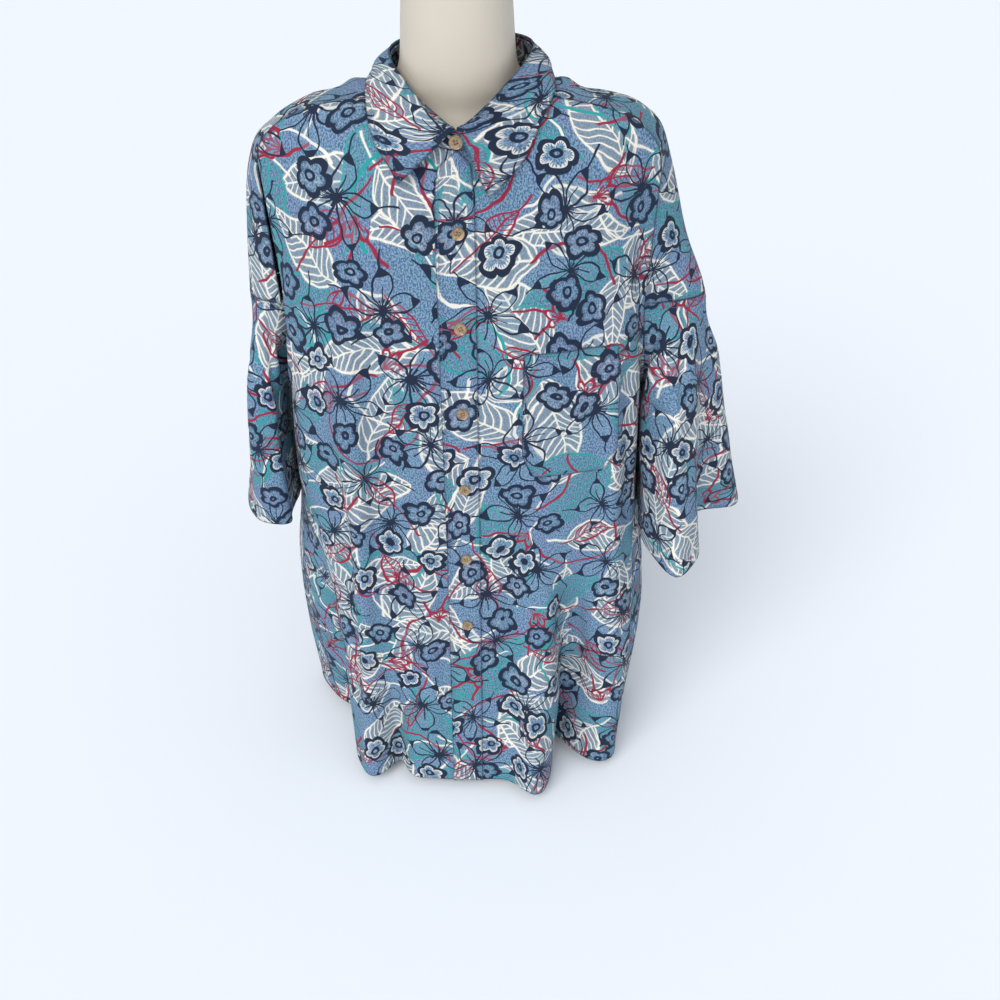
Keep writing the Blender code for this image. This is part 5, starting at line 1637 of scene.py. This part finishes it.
def new_material(name, roughness, **constants):
    """Material with a Principled shader whose unchanging values sit on its own sockets."""
    material = bpy.data.materials.new(name)
    material.use_nodes = True
    shader = material.node_tree.nodes["Principled BSDF"]
    shader.inputs["Roughness"].default_value = roughness
    for label, value in constants.items():
        shader.inputs[label.replace("_", " ")].default_value = value
    return material, Wiring(material.node_tree), shader.inputs


# Reach from a cut edge, softness and strength of the painted shadow line along each edge and of the painted
# shade beside it, the reach and softness of the allowance under the cloth and of the puckers, and strength
# and depth of the bumps
SEAM_SHADOW_LINE = (0.0010, 0.0005, 0.60)
SEAM_PAINTED_SHADE = (0.0040, 0.0070, 0.16)
ALLOWANCE = (0.0065, 0.0015)
PUCKERS = (0.0080, 0.0120)
PUCKER_SCALE = 150.0
ALLOWANCE_RISE = 0.5
INKED_ROUGHNESS = (-0.08, 0.88)
WEAVE_BUMP = (0.35, 0.0003)
SEAM_BUMP = (0.7, 0.0009)

# Colours that the panel doesn't offer, and how far the wrong side is faded
FIXED_COLOURS = {
    "ground_violet": (0.218, 0.274, 0.432, 1.0),
    "leaf_shade": (0.215, 0.258, 0.275, 1.0),
    "teal_shade": (0.050, 0.165, 0.215, 1.0),
}
WRONG_SIDE_FADE = 0.45


def cotton_materials(settings):
    """Right side and wrong side of the printed cotton."""
    if "cotton" in MADE:
        return MADE["cotton"]
    chosen = ("ground", "ground_light", "cream", "teal", "crimson", "navy")
    colours = FIXED_COLOURS | {name: tuple(getattr(settings, name)) for name in chosen}
    pattern = print_group(colours)
    weave = weave_group()
    MADE["cotton"] = []
    for name, fade in (("printed_cotton", 0.0), ("printed_cotton_wrong_side", WRONG_SIDE_FADE)):
        material, w, shader = new_material(name, 0.86, Sheen_Weight=0.04, Sheen_Roughness=0.5,
                                           Specular_IOR_Level=0.18)
        cloth = w.node("ShaderNodeUVMap", uv_map="cloth").outputs[0]
        from_edge = w.node("ShaderNodeAttribute", attribute_name="from_edge").outputs["Fac"]

        def near_edge(reach, soft):
            return w.inside(w.minus(reach, from_edge), soft)

        drawn = w.group(pattern, {"Cloth": cloth})
        colour = drawn["Colour"]
        if fade:
            colour = w.mix(fade, colour, colours["ground_light"])
        # Painted shade: a painted shadow line along every cut edge and a softer band of painted shade beside
        # it, both mixed towards navy
        dark = [w.times(near_edge(*rest), strength) for *rest, strength in (SEAM_SHADOW_LINE, SEAM_PAINTED_SHADE)]
        w.feed(shader["Base Color"], w.mix(w.most(*dark), colour, colours["navy"]))
        w.feed(shader["Roughness"], w.scaled(drawn["Ink"], *INKED_ROUGHNESS))
        threads = w.group(weave, {"Cloth": cloth, "Threads": math.tau / THREAD_PITCH})
        woven = w.bump(threads["Height"], *WEAVE_BUMP)
        pucker = w.times(w.noise(cloth, PUCKER_SCALE, 1.0)["Fac"], near_edge(*PUCKERS))
        raised = w.scaled(near_edge(*ALLOWANCE), ALLOWANCE_RISE, pucker)
        w.feed(shader["Normal"], w.bump(raised, *SEAM_BUMP, Normal=woven))
        MADE["cotton"].append(material)
    return MADE["cotton"]


# ---------------------------------------------------------------- settings

def colour_property(name, description, default):
    return FloatVectorProperty(name=name, description=description, default=default, subtype="COLOR", size=4,
                               min=0.0, max=1.0)


def length_property(name, description, default):
    return FloatProperty(name=name, description=description, default=default, min=0.0, unit="LENGTH",
                         precision=5)


class SHIRT_PG_cloth(bpy.types.PropertyGroup):
    thickness: length_property("Thickness", "Thickness of the cotton", WALL)
    stitch: length_property("Stitch", "Length of one stitch", 0.0026)
    stitch_gap: length_property("Stitch gap", "Space between two stitches", 0.0008)
    thread: length_property("Thread", "Half the thickness of the sewing thread", 0.00022)
    crease_depth: FloatProperty(name="Creases", description="Share of each crease's full depth", default=1.0,
                                min=0.0, max=2.0, subtype="FACTOR")
    ground: colour_property("Ground", "Blue of the ground", (0.050, 0.117, 0.216, 1.0))
    ground_light: colour_property("Heather", "Pale threads in the ground", (0.196, 0.316, 0.432, 1.0))
    cream: colour_property("Cream", "Colour of the pale leaves", (0.76, 0.73, 0.65, 1.0))
    teal: colour_property("Teal", "Colour of the teal leaves", (0.018, 0.292, 0.292, 1.0))
    crimson: colour_property("Crimson", "Colour of the stems and sprigs", (0.270, 0.022, 0.052, 1.0))
    navy: colour_property("Navy", "Colour of the blossoms and lilies", (0.011, 0.020, 0.045, 1.0))
    thread_colour: colour_property("Thread colour", "Colour of the sewing thread", (0.10, 0.14, 0.28, 1.0))


class SHIRT_PG_buttons(bpy.types.PropertyGroup):
    radius: length_property("Radius", "Radius of a button", BUTTON_RADIUS)
    thickness: length_property("Thickness", "Thickness of a button", BUTTON_THICKNESS)
    hole: length_property("Hole", "Radius of a thread hole", 0.0007)
    horn: colour_property("Horn", "Main colour of the buttons", (0.42, 0.29, 0.16, 1.0))


class SHIRT_PG_form(bpy.types.PropertyGroup):
    colour: colour_property("Colour", "Colour of the dress form", (0.575, 0.525, 0.450, 1.0))


class SHIRT_PG_stage(bpy.types.PropertyGroup):
    floor: length_property("Floor", "Width of the floor", 16.0)
    colour: colour_property("Floor colour", "Colour of the floor", (0.83, 0.88, 0.955, 1.0))
    key_strength: FloatProperty(name="Key light", description="Strength of the key light", default=1.75,
                                min=0.0)
    sky_strength: FloatProperty(name="Sky light", description="Strength of the light from all round",
                                default=0.74, min=0.0)


class SHIRT_PG_all(bpy.types.PropertyGroup):
    cloth: PointerProperty(type=SHIRT_PG_cloth)
    buttons: PointerProperty(type=SHIRT_PG_buttons)
    form: PointerProperty(type=SHIRT_PG_form)
    stage: PointerProperty(type=SHIRT_PG_stage)


# ---------------------------------------------------------------- operators

class SHIRT_OT_fronts(bpy.types.Operator):
    """Both front panels, the buttoned strip and the pocket"""

    bl_idname = "shirt.fronts"
    bl_label = "Fronts"

    def execute(self, context):
        return sew(context, "front_left", "front_right", "placket", "pocket")


class SHIRT_OT_back(bpy.types.Operator):
    """Back panel and the yoke over the shoulders"""

    bl_idname = "shirt.back"
    bl_label = "Back and yoke"

    def execute(self, context):
        return sew(context, "back", "yoke")


class SHIRT_OT_sleeves(bpy.types.Operator):
    """Both sleeves"""

    bl_idname = "shirt.sleeves"
    bl_label = "Sleeves"

    def execute(self, context):
        return sew(context, "sleeve_left", "sleeve_right")


class SHIRT_OT_collar(bpy.types.Operator):
    """Collar stand and the leaf that folds over it"""

    bl_idname = "shirt.collar"
    bl_label = "Collar"

    def execute(self, context):
        return sew(context, "collar_stand", "collar_leaf")


ON_ITS_SIDE = (0.0, math.pi / 2.0, 0.0)

# Buttons: sides, steps pressed into the face (width as a share of the radius, depth as a share of the
# thickness), rounding of the edges, place and sides of the holes, thickness of the thread through them, space
# under a button, and how far each one is turned
BUTTON_ROUND = 48
BUTTON_STEPS = ((0.22, 0.0), (0.10, -0.28), (0.10, -0.04))
BUTTON_BEVEL = 0.22
UPWARD = 0.99
BUTTON_EDGE_ANGLE = math.radians(35.0)
HOLE_SPACING = 0.22
HOLE_ROUND = 14
STRAND_SHARE = 0.40
BUTTON_LIFT = 0.0001
BUTTON_TURNS = (0.3, -0.2, 0.5, 0.1, -0.6, 0.2, 0.9)


def joined(things):
    """Objects joined into the first of them."""
    only(things[0])
    for thing in things:
        thing.select_set(True)
    bpy.ops.object.join()
    return bpy.context.object


def modelled_button(settings):
    """A four-hole button at the origin, its back on z = 0, and the thread through its holes."""
    radius, depth = settings.radius, settings.thickness
    bpy.ops.object.select_all(action="DESELECT")
    bpy.ops.mesh.primitive_cylinder_add(vertices=BUTTON_ROUND, radius=radius, depth=depth,
                                        location=(0.0, 0.0, depth / 2.0))
    button = bpy.context.object
    bpy.ops.object.transform_apply(location=True, rotation=True, scale=True)
    for share, drop in BUTTON_STEPS:
        for face in button.data.polygons:
            face.select = face.normal.z > UPWARD and len(face.vertices) > 4
        bpy.ops.object.mode_set(mode="EDIT")
        bpy.ops.mesh.select_mode(type="FACE")
        bpy.ops.mesh.inset(thickness=share * radius, depth=drop * depth)
        bpy.ops.object.mode_set(mode="OBJECT")
    rounding = button.modifiers.new("Rounding", "BEVEL")
    rounding.width = BUTTON_BEVEL * depth
    rounding.segments = 3
    rounding.limit_method = "ANGLE"
    bpy.ops.object.modifier_apply(modifier=rounding.name)
    gap = HOLE_SPACING * radius
    holes = []
    for across, along_hole in ((-gap, -gap), (gap, -gap), (gap, gap), (-gap, gap)):
        bpy.ops.mesh.primitive_cylinder_add(vertices=HOLE_ROUND, radius=settings.hole, depth=4.0 * depth,
                                            location=(across, along_hole, depth))
        holes.append(bpy.context.object)
    drill = joined(holes)
    only(button)
    cut = button.modifiers.new("Holes", "BOOLEAN")
    cut.operation = "DIFFERENCE"
    cut.object = drill
    bpy.ops.object.modifier_apply(modifier=cut.name)
    bpy.data.objects.remove(drill)
    bpy.ops.object.shade_smooth_by_angle(angle=BUTTON_EDGE_ANGLE)
    strands = []
    for across in (-gap, gap):
        bpy.ops.mesh.primitive_torus_add(major_radius=gap, minor_radius=STRAND_SHARE * settings.hole,
                                         major_segments=28, minor_segments=8,
                                         location=(across, 0.0, depth / 2.0), rotation=ON_ITS_SIDE)
        strands.append(bpy.context.object)
    thread = joined(strands)
    bpy.ops.object.transform_apply(location=True, rotation=True, scale=True)
    bpy.ops.object.shade_smooth()
    return button, thread


def button_places(settings):
    """Where each button stands on the cloth, and which way it faces."""
    stand, stand_facing = shirt_sheets(settings.crease_depth)["collar_stand"]
    strip, strip_facing = shirt_sheets(settings.crease_depth)["placket"]
    lift = 0.5 * LAYERS["placket"] * settings.thickness + BUTTON_LIFT
    facing = stand_facing[:, DETAIL].mean(axis=0)
    low, high = stand[0, DETAIL], stand[-1, DETAIL]
    places = [(low + COLLAR_BUTTON_RISE * (high - low) + lift * facing, facing)]
    column = 2 * DETAIL
    rows = strip[:, column]
    for number in range(PLACKET_BUTTONS):
        height = TOP_PLACKET_BUTTON - BUTTON_SPACING * number
        place = interpolated(height, rows[:, 2], rows)
        facing = interpolated(height, rows[:, 2], strip_facing[:, column])
        places.append((place + lift * facing, facing))
    return places


class SHIRT_OT_buttons(bpy.types.Operator):
    """Seven four-hole buttons, sewn to the front strip and the collar stand"""

    bl_idname = "shirt.buttons"
    bl_label = "Buttons"

    def execute(self, context):
        settings = context.scene.shirt.buttons
        model, thread = modelled_button(settings)
        horn = horn_material(tuple(settings.horn))
        cotton = thread_material("button_thread", (0.24, 0.17, 0.12, 1.0))
        for number, (place, facing) in enumerate(button_places(context.scene.shirt.cloth), start=1):
            turn = Vector(facing).to_track_quat("Z", "Y").to_matrix().to_4x4()
            spin = Matrix.Rotation(BUTTON_TURNS[number - 1], 4, "Z")
            moved = Matrix.Translation(Vector(place)) @ turn @ spin
            for source, name, material in ((model, f"sewn_button_{number}", horn),
                                           (thread, f"button_{number}_thread", cotton)):
                copy = new_object(name, source.data.copy())
                copy.data.transform(moved)
                copy.data.materials.clear()
                copy.data.materials.append(material)
                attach(copy, "root")
                if source is model:
                    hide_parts(f"button_{number}")
        bpy.data.objects.remove(model)
        bpy.data.objects.remove(thread)
        return {"FINISHED"}


# Horn's swirls: scale, detail and distortion of the noise, its gain and offset, and how dark it gets. The
# thread's twist: scale of the noise, and strength and depth of the bump.
HORN_SWIRL = (150.0, 3.0, 2.5)
HORN_CONTRAST = (2.6, -0.8)
HORN_DARK = 0.30
TWIST_SCALE = 3500.0
TWIST_BUMP = (0.3, 0.0001)


def horn_material(colour):
    """Brown and tan swirls of horn, glossy."""
    material, w, shader = new_material("button_horn", 0.28, Coat_Weight=0.3, Coat_Roughness=0.2)
    place = w.node("ShaderNodeTexCoord").outputs["Object"]
    swirl = w.noise(place, *HORN_SWIRL, "3D")["Fac"]
    dark = tuple(HORN_DARK * part for part in colour[:3]) + (1.0,)
    w.feed(shader["Base Color"], w.mix(w.scaled(swirl, *HORN_CONTRAST, clamp=True), dark, colour))
    return material


def thread_material(name, colour):
    """Sewing thread with its twist."""
    material, w, shader = new_material(name, 0.7, Sheen_Weight=0.2)
    shader["Base Color"].default_value = colour
    place = w.node("ShaderNodeTexCoord").outputs["Object"]
    twist = w.noise(place, TWIST_SCALE, 1.0, dimensions="3D")["Fac"]
    w.feed(shader["Normal"], w.bump(twist, *TWIST_BUMP))
    return material


def modelled_stitch(settings):
    """One stitch along X at the origin, lying on z = 0, thick in the middle and sunk at its ends."""
    bpy.ops.object.select_all(action="DESELECT")
    bpy.ops.mesh.primitive_uv_sphere_add(segments=6, ring_count=4, radius=1.0, rotation=ON_ITS_SIDE)
    stitch = bpy.context.object
    bpy.ops.object.transform_apply(location=True, rotation=True, scale=True)
    bpy.ops.transform.resize(value=(settings.stitch / 2.0, settings.thread, settings.thread))
    bpy.ops.object.transform_apply(location=True, rotation=True, scale=True)
    return stitch


def stitch_run(points, facing, pitch):
    """Places of stitches down a run of cloth: where each is, where it heads and which way is out."""
    reach = distances(points)
    stations = np.arange(pitch / 2.0, reach[-1], pitch)
    front = interpolated(np.minimum(stations + pitch / 3.0, reach[-1]), reach, points)
    behind = interpolated(stations - pitch / 3.0, reach, points)
    return interpolated(stations, reach, points), front - behind, interpolated(stations, reach, facing)


# How high a stitch lies above the cloth, as a share of the thread's thickness
THREAD_LIFT = 0.4


def seam_run(name, edge, inset, settings):
    """Points and normals this far in from one edge of a piece: first, last, low or high."""
    sheet, normals = shirt_sheets(settings.crease_depth)[name]
    if edge in ("low", "high"):
        sheet, normals = sheet.transpose(1, 0, 2), normals.transpose(1, 0, 2)
    if edge in ("last", "high"):
        sheet, normals = sheet[:, ::-1], normals[:, ::-1]
    reach = distances(sheet, 1)
    points, facing = (
        np.array([interpolated(inset, way, row) for way, row in zip(reach, table)])
        for table in (sheet, normals)
    )
    lift = LAYERS.get(name, 1.0) * settings.thickness / 2.0 + THREAD_LIFT * settings.thread
    return points + lift * facing, facing


# Rows of stitches on each piece: the edge they follow and how far in from it they run
SEAM_ROWS = {
    "back": (("low", 0.007),),
    "collar_leaf": (("high", 0.005), ("first", 0.005), ("last", 0.005)),
    "collar_stand": (("low", 0.002),),
    "front_left": (("low", 0.007),),
    "front_right": (("low", 0.007),),
    "placket": (("first", 0.0025), ("last", 0.0010)),
    "pocket": (("low", 0.0015), ("first", 0.0015), ("last", 0.0015), ("high", 0.024)),
    "sleeve_left": (("low", 0.022), ("high", 0.006)),
    "sleeve_right": (("low", 0.022), ("high", 0.006)),
    "yoke": (("first", 0.0015), ("last", 0.0015)),
}


class SHIRT_OT_stitching(bpy.types.Operator):
    """Rows of stitches along the hems, strip, pocket, collar and seams"""

    bl_idname = "shirt.stitching"
    bl_label = "Stitching"

    def execute(self, context):
        settings = context.scene.shirt.cloth
        model = modelled_stitch(settings)
        corners = np.array([vertex.co for vertex in model.data.vertices])
        faces = [list(face.vertices) for face in model.data.polygons]
        material = thread_material("shirt_thread", tuple(settings.thread_colour))
        for piece, rows in SEAM_ROWS.items():
            vertices = []
            polygons = []
            for edge, inset in rows:
                run = seam_run(piece, edge, inset, settings)
                for place, ahead, facing in zip(*stitch_run(*run, settings.stitch + settings.stitch_gap)):
                    ahead = ahead / np.linalg.norm(ahead)
                    beside = np.cross(facing, ahead)
                    beside /= np.linalg.norm(beside)
                    out = np.cross(ahead, beside)
                    start = len(vertices)
                    vertices.extend(place + corners @ np.array([ahead, beside, out]))
                    polygons.extend([start + corner for corner in face] for face in faces)
            stitches = new_object(piece + "_stitches", new_mesh(piece + "_stitches", vertices, polygons))
            stitches.data.materials.append(material)
            bpy.ops.object.shade_smooth()
            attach(stitches, "root")
        bpy.data.objects.remove(model)
        return {"FINISHED"}


# The form: scale and darkness of its clouds, and the pores' scale, roughness (gain and offset) and bump
FORM_CLOUD_SCALE = 14.0
FORM_CLOUD_DARK = 0.9
PORE_SCALE = 900.0
PORE_ROUGHNESS = (0.12, 0.36)
PORE_BUMP = (0.08, 0.0004)


def form_material(colour):
    """Smooth cream plastic, slightly clouded, with fine pores."""
    material, w, shader = new_material("form_cream", 0.42, Coat_Weight=0.15, Coat_Roughness=0.4)
    place = w.node("ShaderNodeTexCoord").outputs["Object"]
    cloudy = w.noise(place, FORM_CLOUD_SCALE, 3.0, dimensions="3D")["Fac"]
    shade = tuple(FORM_CLOUD_DARK * part for part in colour[:3]) + (1.0,)
    w.feed(shader["Base Color"], w.mix(cloudy, shade, colour))
    pores = w.noise(place, PORE_SCALE, 2.0, dimensions="3D")["Fac"]
    w.feed(shader["Roughness"], w.scaled(pores, *PORE_ROUGHNESS))
    w.feed(shader["Normal"], w.bump(pores, *PORE_BUMP))
    return material


# How bent and skewed two triangles of the form's solid may be to make one face
QUAD_ANGLE = math.radians(60.0)


class SHIRT_OT_form(bpy.types.Operator):
    """Dress form, smoothed from its solid"""

    bl_idname = "shirt.form"
    bl_label = "Dress form"

    def execute(self, context):
        form = new_object("form_body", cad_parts["dress_form"].data.copy())
        bpy.ops.object.mode_set(mode="EDIT")
        bpy.ops.mesh.select_all(action="SELECT")
        bpy.ops.mesh.remove_doubles(threshold=SAME_POINT)
        bpy.ops.mesh.tris_convert_to_quads(face_threshold=QUAD_ANGLE, shape_threshold=QUAD_ANGLE)
        bpy.ops.object.mode_set(mode="OBJECT")
        smooth = form.modifiers.new("Smooth", "SUBSURF")
        smooth.levels = smooth.render_levels = 2
        bpy.ops.object.modifier_apply(modifier=smooth.name)
        bpy.ops.object.shade_smooth()
        form.data.materials.clear()
        form.data.materials.append(form_material(tuple(context.scene.shirt.form.colour)))
        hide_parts("dress_form")
        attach(form, "root")
        return {"FINISHED"}


# Lights: the key light's spread, colour and direction, and the sky's strength: its base, how it falls off
# towards the back and how it falls off to both sides
KEY_SPREAD = math.radians(38.0)
KEY_COLOUR = (1.0, 0.985, 0.96)
KEY_DIRECTION = (0.48, 0.86, -0.85)
SKY_COLOUR = (0.98, 0.99, 1.0, 1.0)
SKY_BASE = 1.08
SKY_TO_BACK = -0.60
SKY_TO_SIDES = -0.40

# Camera
CAMERA_PLACE = (0.0345, -0.899, 0.964)
CAMERA_TILT = math.radians(54.5)
CAMERA_LENS = 36.0
CAMERA_SENSOR = 36.0


def studio_world(stage):
    """Light from all round, brighter from the front, in front of a plain backdrop."""
    world = bpy.data.worlds.new("studio")
    world.use_nodes = True
    w = Wiring(world.node_tree)
    apart = w.apart(w.node("ShaderNodeTexCoord").outputs["Generated"])
    from_side = w.times(apart[0], apart[0], SKY_TO_SIDES)
    strength = w.math("ADD", w.scaled(apart[1], SKY_TO_BACK, SKY_BASE), from_side)
    background = world.node_tree.nodes["Background"]
    background.inputs[0].default_value = SKY_COLOUR
    w.feed(background.inputs[1], w.times(strength, stage.sky_strength))
    plain = w.node("ShaderNodeBackground", {0: tuple(stage.colour)})
    seen = w.node("ShaderNodeLightPath").outputs["Is Camera Ray"]
    mixed = w.node("ShaderNodeMixShader", {0: seen, 1: background.outputs[0], 2: plain.outputs[0]})
    w.feed(world.node_tree.nodes["World Output"].inputs[0], mixed.outputs[0])
    return world


class SHIRT_OT_stage(bpy.types.Operator):
    """Floor, lights and camera"""

    bl_idname = "shirt.stage"
    bl_label = "Stage"

    def execute(self, context):
        stage = context.scene.shirt.stage
        bpy.ops.object.select_all(action="DESELECT")
        bpy.ops.mesh.primitive_plane_add(size=stage.floor, location=(0.0, 0.0, 0.0))
        floor = bpy.context.object
        floor.name = "floor"
        material, _, shader = new_material("pale_floor", 0.9, Specular_IOR_Level=0.1)
        shader["Base Color"].default_value = tuple(stage.colour)
        floor.data.materials.append(material)
        light = bpy.data.lights.new("key", "SUN")
        light.energy = stage.key_strength
        light.angle = KEY_SPREAD
        light.color = KEY_COLOUR
        lamp = bpy.data.objects.new("key", light)
        lamp.rotation_euler = Vector(KEY_DIRECTION).to_track_quat("-Z", "Y").to_euler()
        bpy.context.scene.collection.objects.link(lamp)
        bpy.context.scene.world = studio_world(stage)
        bpy.context.scene.view_settings.view_transform = "Standard"
        camera = bpy.data.objects.new("camera", bpy.data.cameras.new("camera"))
        camera.location = CAMERA_PLACE
        camera.rotation_euler = (CAMERA_TILT, 0.0, 0.0)
        camera.data.lens = CAMERA_LENS
        camera.data.sensor_width = CAMERA_SENSOR
        bpy.context.scene.collection.objects.link(camera)
        bpy.context.scene.camera = camera
        return {"FINISHED"}


class SHIRT_PT_panel(bpy.types.Panel):
    """Builds the shirt piece by piece"""

    bl_idname = "SHIRT_PT_panel"
    bl_label = "Printed shirt"
    bl_space_type = "VIEW_3D"
    bl_region_type = "UI"
    bl_category = "Shirt"

    def draw(self, context):
        layout = self.layout
        groups = context.scene.shirt
        for label in ("cloth", "buttons", "form", "stage"):
            box = layout.box()
            box.label(text=label.capitalize())
            group = getattr(groups, label)
            for name in group.bl_rna.properties.keys():
                if name not in ("rna_type", "name"):
                    box.prop(group, name)
        for operator in OPERATORS:
            layout.operator(operator.bl_idname)


OPERATORS = (
    SHIRT_OT_fronts, SHIRT_OT_back, SHIRT_OT_sleeves, SHIRT_OT_collar, SHIRT_OT_buttons, SHIRT_OT_stitching,
    SHIRT_OT_form, SHIRT_OT_stage,
)
CLASSES = (
    SHIRT_PG_cloth, SHIRT_PG_buttons, SHIRT_PG_form, SHIRT_PG_stage, SHIRT_PG_all, *OPERATORS, SHIRT_PT_panel,
)


def register():
    for kind in CLASSES:
        bpy.utils.register_class(kind)
    bpy.types.Scene.shirt = PointerProperty(type=SHIRT_PG_all)


def unregister():
    del bpy.types.Scene.shirt
    for kind in reversed(CLASSES):
        bpy.utils.unregister_class(kind)


def main():
    register()
    for operator in OPERATORS:
        family, action = operator.bl_idname.split(".")
        getattr(getattr(bpy.ops, family), action)()


if __name__ == "__main__":
    main()
